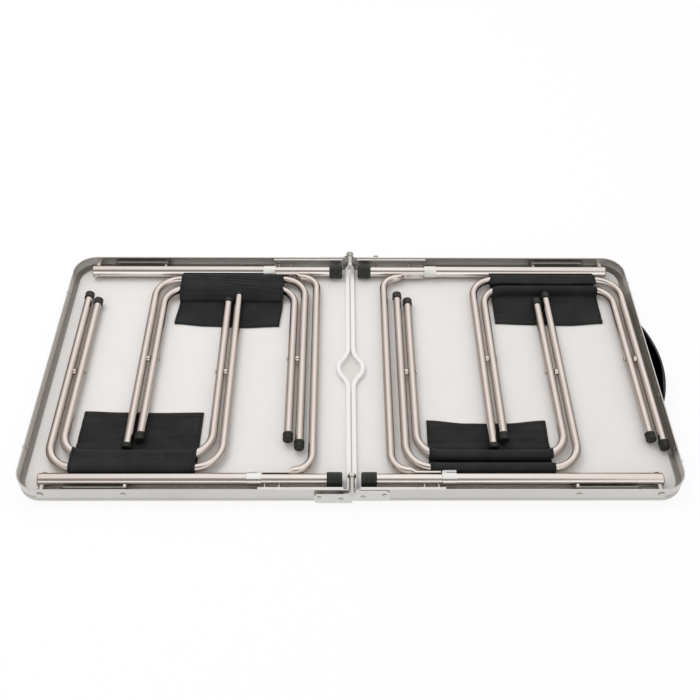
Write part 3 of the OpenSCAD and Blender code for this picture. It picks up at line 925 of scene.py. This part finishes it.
@dataclass
class Legs:
    """The two telescoping legs of one tray with their brace, stays and clamps.

    Sizes are in millimetres. The white seat on a collar covers the directions whose cosine with the lever's
    is over a limit, which is closer on the back legs.
    """

    shop: Shop
    side: Side
    foot_round: float = 2.6
    foot_mouth: float = 1.0
    sole_step: float = 0.6
    tube_stop: float = 3.2
    ring_places: tuple[float, float] = (0.36, 0.62)
    plug_head: float = 1.4
    plug_radius: float = 12.3
    plug_depth: float = 8.0
    bore: float = 11.2
    white_front: float = 0.3
    white_back: float = 0.72

    def build(self) -> None:
        """Makes the legs of the tray."""
        shop, side = self.shop, self.side.value
        shop.ease(f"{side}_upper_legs", LEG_TUBE, "tube", Ease(0.25, 2, True, 60.0))
        shop.ease(f"{side}_lower_legs", LEG_TUBE, "tube", Ease(0.25, 2, True, 60.0))
        shop.ease(f"{side}_leg_brace", STOOL_TUBE, "tube", Ease(0.4, 2, True, 50.0))
        shop.ease(f"{side}_brace_rivets", FASTENER, "fastener", Ease(0.7, 3, True, 60.0))
        collars = shop.ease(f"{side}_leg_collars", LEG_TUBE, "clamp", Ease(0.4, 3, True, 50.0))
        self.whiten(collars)
        shop.ease(f"{side}_wall_stays", SHADED_STAY_BAR, "tube", Ease(0.4))
        shop.ease(f"{side}_leg_stays", SHADED_STAY_BAR, "tube", Ease(0.4))
        for end in ("front", "back"):
            shop.ease(f"{side}_clamp_{end}", NYLON, "clamp", Ease(0.4, 2, True, 50.0))
        self.feet()
        self.end_plugs()

    def whiten(self, collars: bpy.types.Object) -> None:
        """Gives the metal collars their white plastic seat on the side of the clamp lever.

        Args:
            collars: Piece with both collars of the tray.
        """
        low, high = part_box(f"{self.side.value}_lower_legs")
        level = (low.z + high.z) / 2
        away = high.y - (high.z - low.z) / 2
        mesh = collars.data
        mesh.materials.append(NYLON.material())
        for face in mesh.polygons:
            off = Vector((away - abs(face.center.y), face.center.z - level))
            reach = self.white_front if face.center.y < 0 else self.white_back
            if off.length > 0 and (off.x + off.y) / off.length / math.sqrt(2) > reach:
                face.material_index = 1

    def feet(self) -> None:
        """Moulds the rubber feet: a blunt round end, two grip rings and a thin mouth."""
        rubber = bmesh.new()
        for low, high in self.shop.solids(f"{self.side.value}_feet"):
            radius = (high.z - low.z) / 2 / MM
            length = (high.x - low.x) / MM
            inward = -1 if high.x < 0 else 1
            centre = (low + high) / 2
            origin = Vector((high.x if inward < 0 else low.x, centre.y, centre.z))
            # Distances run from the sole, at the fold line's side, towards the tube.
            sole = [(0.0, self.sole_step), (radius - 5, self.sole_step), (radius - 4, 0.0)]
            side = [(radius - r0, h) for r0, h in self.foot_side(length)]
            wall = self.bore - 0.2
            mouth = [(wall, length), (wall, self.tube_stop), (0.0, self.tube_stop)]
            turn(rubber, sole + side + mouth, origin, Vector((inward, 0, 0)))
        self.shop.book(
            rubber,
            f"{self.side.value}_feet_rubber",
            RUBBER,
            "rubber",
            self.shop.body_of(f"{self.side.value}_feet"),
            [f"{self.side.value}_feet"],
        )

    def foot_side(self, length: float) -> list[tuple[float, float]]:
        """Shapes the side of a foot, with its round end and its two grip rings.

        Args:
            length: Length of the foot.

        Returns:
            Depth below the outer radius and distance from the sole of each point.
        """
        r = self.foot_round
        points = [
            (r - r * math.sin(math.pi / 2 * i / 6), r - r * math.cos(math.pi / 2 * i / 6))
            for i in range(1, 7)
        ]
        for ring in self.ring_places:
            h = length * ring
            points += [(0.0, h - 0.7), (0.45, h - 0.3), (0.45, h + 0.3), (0.0, h + 0.7)]
        return points + [(0.0, length - 1.2), (0.3, length - 0.4), (self.foot_mouth, length)]

    def end_plugs(self) -> None:
        """Closes the pivot ends of the upper tubes with pressed-in plugs."""
        feet = self.shop.solids(f"{self.side.value}_feet")
        low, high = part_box(f"{self.side.value}_upper_legs")
        outward = -1 if self.side is Side.LEFT else 1
        end = low.x if outward < 0 else high.x
        plugs = bmesh.new()
        for foot_low, foot_high in feet:
            centre = (foot_low + foot_high) / 2
            turn(
                plugs,
                [
                    (0.0, self.plug_head),
                    *corner_arc(self.plug_radius, self.plug_head, 0.9),
                    (self.plug_radius, 0.15),
                    (self.bore - 0.1, 0.15),
                    (self.bore - 0.1, -self.plug_depth),
                    (0.0, -self.plug_depth),
                ],
                Vector((end, centre.y, centre.z)),
                Vector((outward, 0, 0)),
            )
        self.shop.book(
            plugs,
            f"{self.side.value}_leg_plugs",
            PLUG,
            "rubber",
            self.shop.body_of(f"{self.side.value}_upper_legs"),
        )


@dataclass(frozen=True)
class Crease:
    """A fold line pressed into a seat.

    Its reach is where it crosses the middle of the seat, counted back from the far edge where it is
    negative. Its slant is how much further it reaches for each millimetre to the right. Lengths are in
    millimetres.
    """

    reach: float
    slant: float = 0.0
    depth: float = 0.8
    width: float = 1.6
    left: float = -140.0
    right: float = 140.0

    def height(self, x: float, reach: float) -> float:
        """Height of the valley and of the small ridge beside it.

        Args:
            x: Place across the seat.
            reach: Distance from the bar.

        Returns:
            Height over the smooth cloth.
        """
        wave = 1.6 * noise.noise(Vector((x * 0.028, self.reach, 4.0)))
        off = (reach - self.reach - self.slant * x - wave) / self.width
        here = smooth_step(self.left - 12, self.left + 12, x)
        here *= 1 - smooth_step(self.right - 12, self.right + 12, x)
        here *= 0.3 + smooth_step(-0.45, 0.35, noise.noise(Vector((x * 0.022, self.reach, 9.0))))
        return self.depth * here * (0.8 * math.exp(-((off - 1.7) ** 2)) - math.exp(-(off**2)))


@dataclass(frozen=True)
class Drape:
    """How one seat lies when its stool is stowed.

    The gather is the share of the cut's width that shows, the shift moves the whole seat along its bars, and
    the skew moves its far edge further. The edge gives the far edge's reach beyond the solid's at its left
    end, its two thirds and its right end. The cover is how far the upper fold reaches past the outer bar; at
    0 both rolls show. Lengths are in millimetres.
    """

    gather: float
    shift: float
    skew: float
    edge: tuple[float, float, float, float]
    cover: float
    folds: tuple[Crease, ...] = ()
    creases: tuple[Crease, ...] = ()

    def far(self, x: float, half_width: float) -> float:
        """Works out what the far edge gains at a place across the seat.

        Args:
            x: Place across the seat.
            half_width: Half the width of the cut.

        Returns:
            Reach beyond the solid's.
        """
        share = min(2.9999, max(0.0, (x / half_width + 1) * 1.5))
        i = int(share)
        return self.edge[i] + (self.edge[i + 1] - self.edge[i]) * smooth_step(0, 1, share - i)

    def across(self, x: float, share: float) -> float:
        """Where a point of the cut goes across the seat, at a share of the way to the far edge."""
        return x * self.gather + self.shift + self.skew * smooth_step(0.25, 1.0, share)


DRAPES = {
    1: Drape(
        0.993,
        -1.8,
        0.8,
        (2.5, -0.5, -1.5, -0.5),
        25.0,
        (
            Crease(9.0, 0.01, 0.5, 2.2, 10.0, 140.0),
            Crease(14.0, -0.02, 0.3, 3.0, -140.0, -20.0),
            Crease(20.0, 0.02, 0.9, 1.6, 20.0, 140.0),
        ),
        (
            Crease(-13.0, 0.0, 1.0, 1.4),
            Crease(70.0, 0.05, 0.6, 4.0),
            Crease(96.0, -0.06, 0.5, 5.0),
        ),
    ),
    2: Drape(
        0.955,
        2.5,
        -5.0,
        (-9.0, -2.0, 2.0, -1.5),
        55.0,
        (
            Crease(8.0, 0.1, 1.7, 2.4, -140.0, 90.0),
            Crease(26.0, 0.13, 1.9, 2.6, -60.0, 140.0),
            Crease(44.0, 0.0, 1.6, 2.2, -140.0, 40.0),
        ),
        (
            Crease(74.0, -0.02, 0.7, 3.0),
            Crease(-16.0, -0.03, 0.6, 1.6, 0.0, 140.0),
            Crease(88.0, 0.06, 0.6, 5.0),
        ),
    ),
    3: Drape(
        0.992,
        -2.2,
        1.0,
        (-1.0, -8.5, -8.5, -1.5),
        0.0,
        (),
        (
            Crease(-9.0, 0.0, 0.5, 1.4),
            Crease(49.0, 0.0, 0.9, 1.5),
            Crease(66.0, 0.03, 0.6, 4.0),
            Crease(90.0, -0.05, 0.6, 5.0),
        ),
    ),
    4: Drape(
        0.985,
        -4.4,
        0.0,
        (-4.5, -1.5, 0.5, -5.5),
        16.5,
        (Crease(3.0, 0.02, 0.6, 2.4, -140.0, 20.0), Crease(8.0, -0.015, 0.6, 2.0, -20.0, 140.0)),
        (
            Crease(58.0, 0.03, 0.7, 3.5, -140.0, 30.0),
            Crease(80.0, -0.08, 0.7, 4.5, -140.0, 0.0),
            Crease(-14.0, 0.02, 0.5, 1.5),
            Crease(96.0, 0.05, 0.6, 5.0),
        ),
    ),
}


@dataclass
class Seat:
    """The canvas seat of one stool, folded over between its two crossbars.

    Each half is a sleeve sewn round a crossbar and a flap that ends at the seat's fold. On three of the
    stools some slack lies over both bars as an upper fold. Sizes are in millimetres.
    """

    shop: Shop
    number: int
    drape: Drape
    cut: float = 230.0
    cloth: float = 0.9
    sleeve: float = 9.5
    bore: float = 8.2
    bar_step: float = 28.0
    seam_drop: float = 10.3
    seam_reach: float = 8.9
    panel_top: float = 5.2
    slack: float = 2.3
    bends: dict[Half, tuple[float, float]] = field(
        default_factory=lambda: {Half.OUTER: (109.0, 50.0), Half.INNER: (92.5, 45.0)}
    )

    @property
    def side(self) -> Side:
        """Tray that the stool is stowed in."""
        return Side.LEFT if self.number < 3 else Side.RIGHT

    def build(self) -> None:
        """Makes the sleeve and the flap of both halves, and the upper fold."""
        for half in Half:
            self.half(half)
        if self.drape.cover > 0:
            self.upper_fold()

    def bend(self, half: Half, x: float) -> tuple[float, float]:
        """How far a crossbar has turned in at a place along it.

        Args:
            half: Which crossbar.
            x: Distance from the middle of the seat.

        Returns:
            The bar's step towards the legs, and the cosine of its direction.
        """
        straight, radius = self.bends[half]
        past = max(0.0, abs(x) - straight)
        slope = past / radius
        return radius - math.sqrt(radius * radius - past * past), math.sqrt(1 - slope * slope)

    def bar(self, half: Half) -> tuple[float, int, float, float]:
        """Measures where one half of the seat hangs.

        Args:
            half: Which half.

        Returns:
            The seat's middle along the table, the side of the table that it is on as a sign, and the
            bar's distance from the middle line and height.
        """
        low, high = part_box(f"stool_{self.number}_seat_{half.value}")
        side = -1 if (low.y + high.y) < 0 else 1
        away = max(abs(low.y), abs(high.y)) / MM - self.sleeve
        return (low.x + high.x) / 2 / MM, side, away, high.z / MM - self.sleeve

    def half(self, half: Half) -> None:
        """Makes one half of the seat.

        Args:
            half: Which half.
        """
        node = f"stool_{self.number}_seat_{half.value}"
        frame_node = f"stool_{self.number}_{half.value}_frame"
        low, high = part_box(node)
        middle, side, bar, level = self.bar(half)
        fold = min(abs(low.y), abs(high.y)) / MM
        lean = self.number * 7.3 + (0 if half is Half.OUTER else 3.1)
        drape = self.drape

        def at(x: float, reach: float, z: float) -> Vector:
            """Point in the row frame from the place along the bar, the reach from it and the height."""
            return Vector(((middle + x) * MM, side * (bar - reach) * MM, z * MM))

        seam = math.atan2(self.seam_drop, self.seam_reach)
        seam_radius = math.hypot(self.seam_drop, self.seam_reach)
        loop = 2 * math.pi * (self.bore + self.cloth / 2) + 6

        def sleeve(u: float, w: float) -> Vector:
            """Winds the sleeve's cut from the seam over the bar and back to it.

            Args:
                u: Distance across the cut in metres.
                w: Distance along it in metres.

            Returns:
                Place of the point.
            """
            x = drape.across(u / MM - self.cut / 2, 0.0)
            angle = -seam + 2 * math.pi * (w / MM / loop)
            radius = self.bore + self.cloth / 2
            off = angle if angle < math.pi else angle - 2 * math.pi
            pull = 1 - abs(off + seam) / (seam if off > -seam else math.pi / 2 - seam + 0.35)
            radius += (seam_radius - radius) * max(0.0, pull) ** 1.7
            step, cosine = self.bend(half, x)
            ripple = noise.noise(Vector((x * 0.035 + lean, off * 1.6, lean)))
            radius += 0.2 * (1 + ripple) * smooth_step(0.2, 1.0, abs(math.sin(off)))
            return at(x, step + radius * math.cos(off) / cosine, level + radius * math.sin(off))

        self.sheet(
            cloth_grid(self.cut * MM, loop * MM, 72, 60, sleeve),
            f"stool_{self.number}_sleeve_{half.value}",
            self.shop.body_of(frame_node),
            (self.cut * MM, loop * MM),
            "stretched",
            [f"{frame_node}_part"],
            (),
        )

        rest = self.panel_top + self.cloth / 2 + (0.15 if half is Half.OUTER else 1.25)
        start = level - self.seam_drop
        reach = bar - fold
        meet = self.panel_top + self.cloth + 0.2

        def flap(u: float, w: float) -> Vector:
            """Lays the flap's cut from the sleeve's seam to the seat's fold.

            Args:
                u: Distance across the cut in metres.
                w: Distance along it in metres.

            Returns:
                Place of the point.
            """
            flat_x = u / MM - self.cut / 2
            t = w / MM / (reach - self.seam_reach)
            x = drape.across(flat_x, t)
            step, cosine = self.bend(half, x)
            near = step + self.seam_reach / cosine
            far = reach + drape.far(flat_x, self.cut / 2) - (1.5 if half is Half.OUTER else 0.0)
            off = near + (far - near) * t
            fall = smooth_step(0, 26 if half is Half.INNER else 14, off - near)
            ripple = noise.noise(Vector((x * 0.012 + lean, off * 0.06, lean)))
            crease = noise.noise(Vector((x * 0.03, off * 0.018 + lean, 2 * lean)))
            lift = (0.55 * (1 + ripple) + 0.5 * (1 + crease)) * (0.9 if half is Half.INNER else 0.25)
            z = start + (rest - start) * fall + lift * smooth_step(0, 12, off - near)
            past = off + (self.bar_step if half is Half.INNER else 0.0)
            pressed = sum(
                line.height(x, past if line.reach > 0 else off - far) for line in drape.creases
            )
            if half is Half.INNER:
                z += pressed + 0.9 * smooth_step(0, 12, off - near)
            edge = smooth_step(far - 5, far, off)
            z += (meet - z) * edge
            return at(x, off - 1.2 * (1 + crease) * 0.4 * edge, z)

        cut = (reach - self.seam_reach) * MM
        piece = self.sheet(
            cloth_grid(self.cut * MM, cut, 92, 110, flap),
            f"stool_{self.number}_flap_{half.value}",
            self.shop.body_of(node),
            (self.cut * MM, cut),
            "laid",
            [
                f"{self.side.value}_panel"
                if half is Half.OUTER
                else f"stool_{self.number}_flap_outer"
            ],
            [node],
        )
        self.flatten(piece, level)

    def flatten(self, piece: bpy.types.Object, level: float) -> None:
        """Gives a piece its own copy of its mesh.

        Args:
            piece: Piece of the seat.
            level: Not used.
        """
        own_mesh(piece)

    def upper_fold(self) -> None:
        """Lays the seat's slack over both bars, from the outer bar's far side to a turned-under edge."""
        middle, side, bar, level = self.bar(Half.OUTER)
        drape = self.drape
        lean = self.number * 5.7
        over = self.bore + self.slack + self.cloth
        lap = over * math.radians(75)
        length = lap + drape.cover + 4

        def top(x: float, s: float) -> tuple[float, float]:
            """Follows the fold's middle surface.

            Args:
                x: Place across the seat.
                s: Length along the fold.

            Returns:
                Reach from the outer bar, and height.
            """
            if s < lap:
                angle = (lap - s) / over
                return -over * math.sin(angle), level + over * math.cos(angle)
            off = s - lap
            sag = 0.7 * smooth_step(2, 12, off) * (1 - smooth_step(16, 26, off))
            drop = max(0.0, off - self.bar_step)
            z = level + over - sag - drop * drop * 0.02
            end = max(0.0, off - drape.cover)
            return min(off, drape.cover + 0.4) + 0.8 * min(1.0, end), z - 0.9 * end

        def place(u: float, w: float) -> Vector:
            """Lays the fold's cut over the bars.

            Args:
                u: Distance across the cut in metres.
                w: Distance along it in metres.

            Returns:
                Place of the point.
            """
            flat_x = u / MM - self.cut / 2
            x = drape.across(flat_x, 0.0)
            reach, z = top(x, w / MM)
            held_in = min(self.cut / 2, max(-self.cut / 2, x))
            inner, _ = self.bend(Half.INNER, held_in)
            outer, _ = self.bend(Half.OUTER, held_in)
            share = smooth_step(0, self.bar_step, reach)
            wave = noise.noise(Vector((x * 0.02 + lean, reach * 0.02, lean)))
            curl = noise.noise(Vector((x * 0.045 + lean, reach * 0.09, lean)))
            reach += outer + (inner - outer) * 0.6 * share + 2.6 * wave * smooth_step(8, 24, reach)
            z += 0.35 * curl * smooth_step(-6, 4, reach)
            z += sum(line.height(x, reach) for line in drape.folds) * smooth_step(-9, -2, reach)
            return Vector(((middle + x) * MM, side * (bar - reach) * MM, z * MM))

        piece = self.sheet(
            cloth_grid(self.cut * MM, length * MM, 92, 110, place),
            f"stool_{self.number}_upper_fold",
            self.shop.body_of(f"stool_{self.number}_seat_outer"),
            (self.cut * MM, length * MM),
            "folded",
            [f"stool_{self.number}_sleeve_outer", f"stool_{self.number}_sleeve_inner"],
            (),
        )
        self.flatten(piece, level + over)

    def sheet(
        self,
        grid: bmesh.types.BMesh,
        name: str,
        body: str,
        flat: tuple[float, float],
        held: str,
        rests_on: Sequence[str],
        replaces: Sequence[str],
    ) -> bpy.types.Object:
        """Gives a sheet its thickness and books it as a piece with the canvas finish.

        Args:
            grid: The sheet's middle surface.
            name: Name of the piece.
            body: Body that it rides on.
            flat: Not used.
            held: Not used.
            rests_on: Not used.
            replaces: CAD nodes that it stands for.

        Returns:
            The piece.
        """
        bmesh.ops.recalc_face_normals(grid, faces=grid.faces)
        bmesh.ops.solidify(grid, geom=grid.faces[:], thickness=self.cloth * MM)
        piece = self.shop.book(grid, name, CANVAS, "fabric", body, replaces, 75.0)
        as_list(rests_on)
        return piece


@dataclass
class Stools:
    """The four folding stools: frames, rubber caps and seats.

    Four caps are worn short; each is given by its tip's place along the table and its length. Sizes are in
    millimetres.
    """

    shop: Shop
    cap_round: float = 2.2
    cap_wall: float = 1.9
    cap_lip: float = 0.3
    tube_stop: float = 2.8
    same_place: float = 3.0
    worn: tuple[tuple[float, float], ...] = ((-415, 9.5), (264, 9.5), (-258.5, 9.5), (-237, 7.5))

    def build(self) -> None:
        """Makes all four stools."""
        for number in range(1, 5):
            for half in Half:
                self.shop.ease(
                    f"stool_{number}_{half.value}_frame", STOOL_TUBE, "tube", Ease(0.25, 2, True, 60.0)
                )
            self.caps(f"stool_{number}_inner_caps")
            Seat(self.shop, number, DRAPES[number]).build()
        for side in Side:
            self.caps(f"{side.value}_stool_outer_caps")

    def caps(self, node: str) -> None:
        """Moulds the rubber caps of one node.

        Args:
            node: CAD node with the caps.
        """
        rubber = bmesh.new()
        for low, high in self.shop.solids(node):
            centre = (low + high) / 2
            outward = -1 if centre.y < 0 else 1
            tip = low.y if outward < 0 else high.y
            radius = (high.x - low.x) / 2 / MM
            length = (high.y - low.y) / MM
            for place, left in self.worn:
                if abs(centre.x / MM - place) < self.same_place:
                    length = left
            tube = radius - self.cap_wall
            profile = [
                (0.0, -0.5),
                (radius - 5.5, -0.5),
                (radius - 4.8, 0.0),
                *corner_arc(radius - self.cap_lip, 0.0, self.cap_round)[1:],
                (radius - self.cap_lip, 3.2 - length),
                (radius, 2.8 - length),
                (radius, 0.6 - length),
                (radius - 0.5, -length),
                (tube, -length),
                (tube, -self.tube_stop),
                (0.0, -self.tube_stop),
            ]
            turn(
                rubber,
                profile,
                Vector((centre.x, tip, centre.z)),
                Vector((0, outward, 0)),
                40,
            )
        self.shop.book(
            rubber, f"{node}_rubber", RUBBER, "rubber", self.shop.body_of(node), [node]
        )


@dataclass
class Studio:
    """The camera, the lamp, the white floor and the sky round the table.

    Angles are in degrees. The shade is painted shade: a greyer tone and a smaller lift for the floor below
    the fold line, and its fades are where it starts and stops thinning along and across the table.
    """

    place: Vector = field(default_factory=lambda: Vector((-0.0209, -1.1405, 1.3748)))
    pitch: float = 48.902
    yaw: float = 0.955
    roll: float = 0.784
    lens: float = 45.616
    sky: float = 0.8
    lamp_power: float = 19.0
    lamp_size: tuple[float, float] = (1.8, 1.4)
    lamp_place: tuple[float, float, float] = (-0.9, 0.8, 2.4)
    floor_size: float = 12.0
    floor_drop_mm: float = 0.3
    floor_lift: float = 0.86
    shade_lift: float = 0.6
    shade: str = "#e0dcd8"
    shade_fade_mm: tuple[tuple[float, float], ...] = ((21.0, 48.0), (262.0, 300.0))
    tent_foot: float = -0.05
    tent_top: float = 0.2
    tent_low: str = "#6b635e"
    tent_ridge: tuple[tuple[float, str], ...] = (
        (0.0, "#f7f6f5"),
        (0.3, "#e2dedb"),
        (0.55, "#cfcac6"),
        (0.7, "#b0a9a4"),
        (0.85, "#8d8580"),
    )
    tent_lean: float = 0.04
    window: tuple[float, float, float] = (-0.1, -0.48, 0.87)
    window_radius: float = 24.0
    window_blur: float = 5.0
    window_depth: float = 0.85
    board_from: tuple[float, float] = (-0.7, -0.9)
    tent_light: float = 1.4
    window_colour: str = "#675f5a"

    def build(self) -> None:
        """Sets the studio up."""
        bpy.context.scene.view_settings.view_transform = "Standard"
        self.camera()
        self.lamp()
        self.floor()
        self.surroundings()

    def camera(self) -> None:
        """Sets the camera up and makes it the scene's."""
        pitch, yaw, roll = (math.radians(a) for a in (self.pitch, self.yaw, self.roll))
        ahead = Vector(
            (math.sin(yaw) * math.cos(pitch), math.cos(yaw) * math.cos(pitch), -math.sin(pitch))
        )
        level = Vector((math.cos(yaw), -math.sin(yaw), 0))
        upright = level.cross(ahead)
        right = math.cos(roll) * level + math.sin(roll) * upright
        up = -math.sin(roll) * level + math.cos(roll) * upright
        data = bpy.data.cameras.new("camera")
        data.lens, data.sensor_width = self.lens, 36.0
        data.clip_start, data.clip_end = 0.05, 60.0
        camera = bpy.data.objects.new("camera", data)
        camera.matrix_world = Matrix.Translation(self.place) @ Matrix(
            (right, up, -ahead)
        ).transposed().to_4x4()
        bpy.context.scene.collection.objects.link(camera)
        bpy.context.scene.camera = camera

    def lamp(self) -> None:
        """Hangs one wide soft lamp behind and to the left."""
        data = bpy.data.lights.new("softbox", "AREA")
        data.shape = "RECTANGLE"
        data.size, data.size_y = self.lamp_size
        data.energy = self.lamp_power
        lamp = bpy.data.objects.new("softbox", data)
        lamp.location = self.lamp_place
        lamp.visible_glossy = False
        lamp.rotation_mode = "QUATERNION"
        lamp.rotation_quaternion = (-lamp.location).to_track_quat("-Z", "Y")
        bpy.context.scene.collection.objects.link(lamp)

    def floor(self) -> None:
        """Lays the white floor that keeps the table's shadow."""
        flat = bmesh.new()
        bmesh.ops.create_grid(flat, x_segments=1, y_segments=1, size=self.floor_size)
        bmesh.ops.translate(flat, verts=flat.verts, vec=(0, 0, -self.floor_drop_mm * MM))
        mesh = bpy.data.meshes.new("floor")
        flat.to_mesh(mesh)
        flat.free()
        floor = bpy.data.objects.new("floor", mesh)
        bpy.context.scene.collection.objects.link(floor)
        # Matt white paper, lifted towards white where a camera or a reflection sees it.
        paper = bpy.data.materials.new("studio_paper")
        paper.use_nodes = True
        tree = paper.node_tree
        tree.nodes.remove(tree.nodes["Principled BSDF"])
        path = add_node(tree, "ShaderNodeLightPath")
        seen = add_node(
            tree,
            "ShaderNodeMath",
            {0: path.outputs["Is Camera Ray"], 1: path.outputs["Is Glossy Ray"]},
            operation="MAXIMUM",
        )
        seen = add_node(
            tree,
            "ShaderNodeMath",
            {0: seen.outputs[0], 1: path.outputs["Is Transmission Ray"]},
            operation="MAXIMUM",
        )
        # Painted shade: the paper below the fold line gets a greyer colour and less lift, for the little
        # light that reaches it from the sides.
        place = add_node(tree, "ShaderNodeTexCoord").outputs["Object"]
        fades = []
        for way, (low, high) in zip(
            add_node(tree, "ShaderNodeSeparateXYZ", {0: place}).outputs, self.shade_fade_mm
        ):
            away = add_node(tree, "ShaderNodeMath", {0: way}, operation="ABSOLUTE").outputs[0]
            fades.append(
                add_node(
                    tree,
                    "ShaderNodeMapRange",
                    {0: away, 1: low * MM, 2: high * MM, 3: 1.0, 4: 0.0},
                    interpolation_type="SMOOTHSTEP",
                ).outputs[0]
            )
        under = add_node(
            tree, "ShaderNodeMath", {0: fades[0], 1: fades[1]}, operation="MULTIPLY"
        ).outputs[0]
        share = add_node(
            tree, "ShaderNodeMix", {0: under, 2: self.floor_lift, 3: self.shade_lift}
        ).outputs[0]
        tone = add_node(
            tree,
            "ShaderNodeMix",
            {0: under, 6: linear("#ffffff"), 7: linear(self.shade)},
            data_type="RGBA",
        ).outputs[2]
        lift = add_node(
            tree, "ShaderNodeMath", {0: seen.outputs[0], 1: share}, operation="MULTIPLY"
        )
        matt = add_node(tree, "ShaderNodeBsdfDiffuse", {"Color": tone})
        white = add_node(tree, "ShaderNodeEmission", {"Color": tone, "Strength": 1.0})
        mixed = add_node(
            tree,
            "ShaderNodeMixShader",
            {0: lift.outputs[0], 1: matt.outputs[0], 2: white.outputs[0]},
        )
        tree.links.new(mixed.outputs[0], tree.nodes["Material Output"].inputs[0])
        mesh.materials.append(paper)

    def surroundings(self) -> None:
        """Makes the sky: white to the camera, even on the table, and a light tent in metal."""
        world = bpy.data.worlds.new("studio")
        bpy.context.scene.world = world
        world.use_nodes = True
        tree = world.node_tree
        path = add_node(tree, "ShaderNodeLightPath")
        even = tree.nodes["Background"]
        even.inputs["Color"].default_value = linear("#ffffff")
        even.inputs["Strength"].default_value = self.sky
        mirrored = add_node(
            tree, "ShaderNodeBackground", {"Color": self.tent(tree), "Strength": self.tent_light}
        )
        white = add_node(
            tree, "ShaderNodeBackground", {"Color": linear("#ffffff"), "Strength": 1.0}
        )
        metal = add_node(
            tree,
            "ShaderNodeMixShader",
            {0: path.outputs["Is Glossy Ray"], 1: even.outputs[0], 2: mirrored.outputs[0]},
        )
        open_view = add_node(
            tree,
            "ShaderNodeMath",
            {0: path.outputs["Is Camera Ray"], 1: path.outputs["Is Transmission Ray"]},
            operation="MAXIMUM",
        )
        seen = add_node(
            tree,
            "ShaderNodeMixShader",
            {0: open_view.outputs[0], 1: metal.outputs[0], 2: white.outputs[0]},
        )
        tree.links.new(seen.outputs[0], tree.nodes["World Output"].inputs[0])

    def tent(self, tree: bpy.types.NodeTree) -> bpy.types.NodeSocket:
        """Draws the light tent that the metal mirrors.

        It is white along a ridge across the table and grows darker towards its two ends and its foot. A
        window in the ceiling over the front is dark, and a white board stands low in front of the table.

        Args:
            tree: Node tree of the world.

        Returns:
            Colour of the tent in each direction.
        """
        toward = add_node(tree, "ShaderNodeTexCoord").outputs["Generated"]
        parts = add_node(tree, "ShaderNodeSeparateXYZ", {0: toward})
        rise = add_node(
            tree,
            "ShaderNodeMapRange",
            {"Value": parts.outputs[2], "From Min": self.tent_foot, "From Max": self.tent_top},
        ).outputs[0]
        leaned = add_node(
            tree, "ShaderNodeMath", {0: parts.outputs[0], 1: self.tent_lean}, operation="SUBTRACT"
        ).outputs[0]
        aside = add_node(tree, "ShaderNodeMath", {0: leaned}, operation="ABSOLUTE").outputs[0]
        ridge = add_node(tree, "ShaderNodeValToRGB", {0: aside})
        stops = ridge.color_ramp.elements
        while len(stops) < len(self.tent_ridge):
            stops.new(1.0)
        for stop, (at, tone) in zip(stops, self.tent_ridge):
            stop.position, stop.color = at, linear(tone)
        cloth = add_node(
            tree,
            "ShaderNodeMix",
            {0: rise, 6: linear(self.tent_low), 7: ridge.outputs[0]},
            data_type="RGBA",
        ).outputs[2]
        facing = add_node(
            tree,
            "ShaderNodeVectorMath",
            {0: toward, 1: Vector(self.window).normalized()},
            operation="DOT_PRODUCT",
        ).outputs["Value"]
        gap = add_node(
            tree,
            "ShaderNodeMapRange",
            {
                "Value": facing,
                "From Min": math.cos(math.radians(self.window_radius + self.window_blur)),
                "From Max": math.cos(math.radians(self.window_radius - self.window_blur)),
                "To Max": self.window_depth,
            },
            interpolation_type="SMOOTHSTEP",
        ).outputs[0]
        opened = add_node(
            tree,
            "ShaderNodeMix",
            {0: gap, 6: cloth, 7: linear(self.window_colour)},
            data_type="RGBA",
        ).outputs[2]
        front = add_node(
            tree,
            "ShaderNodeMapRange",
            {0: parts.outputs[1], 1: self.board_from[0], 2: self.board_from[1]},
            interpolation_type="SMOOTHSTEP",
        ).outputs[0]
        return add_node(
            tree,
            "ShaderNodeMix",
            {0: front, 6: opened, 7: linear("#ffffff")},
            data_type="RGBA",
        ).outputs[2]


def main() -> None:
    """Builds the table's pieces in order."""
    logging.basicConfig(level=logging.INFO, format="%(message)s")
    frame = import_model()
    shop = Shop(frame)
    Studio().build()
    Trays(shop).build()
    Handle(shop).build()
    for side in Side:
        Legs(shop, side).build()
    Stools(shop).build()
    log.info("%d pieces made", shop.made)


if __name__ == "__main__":
    main()
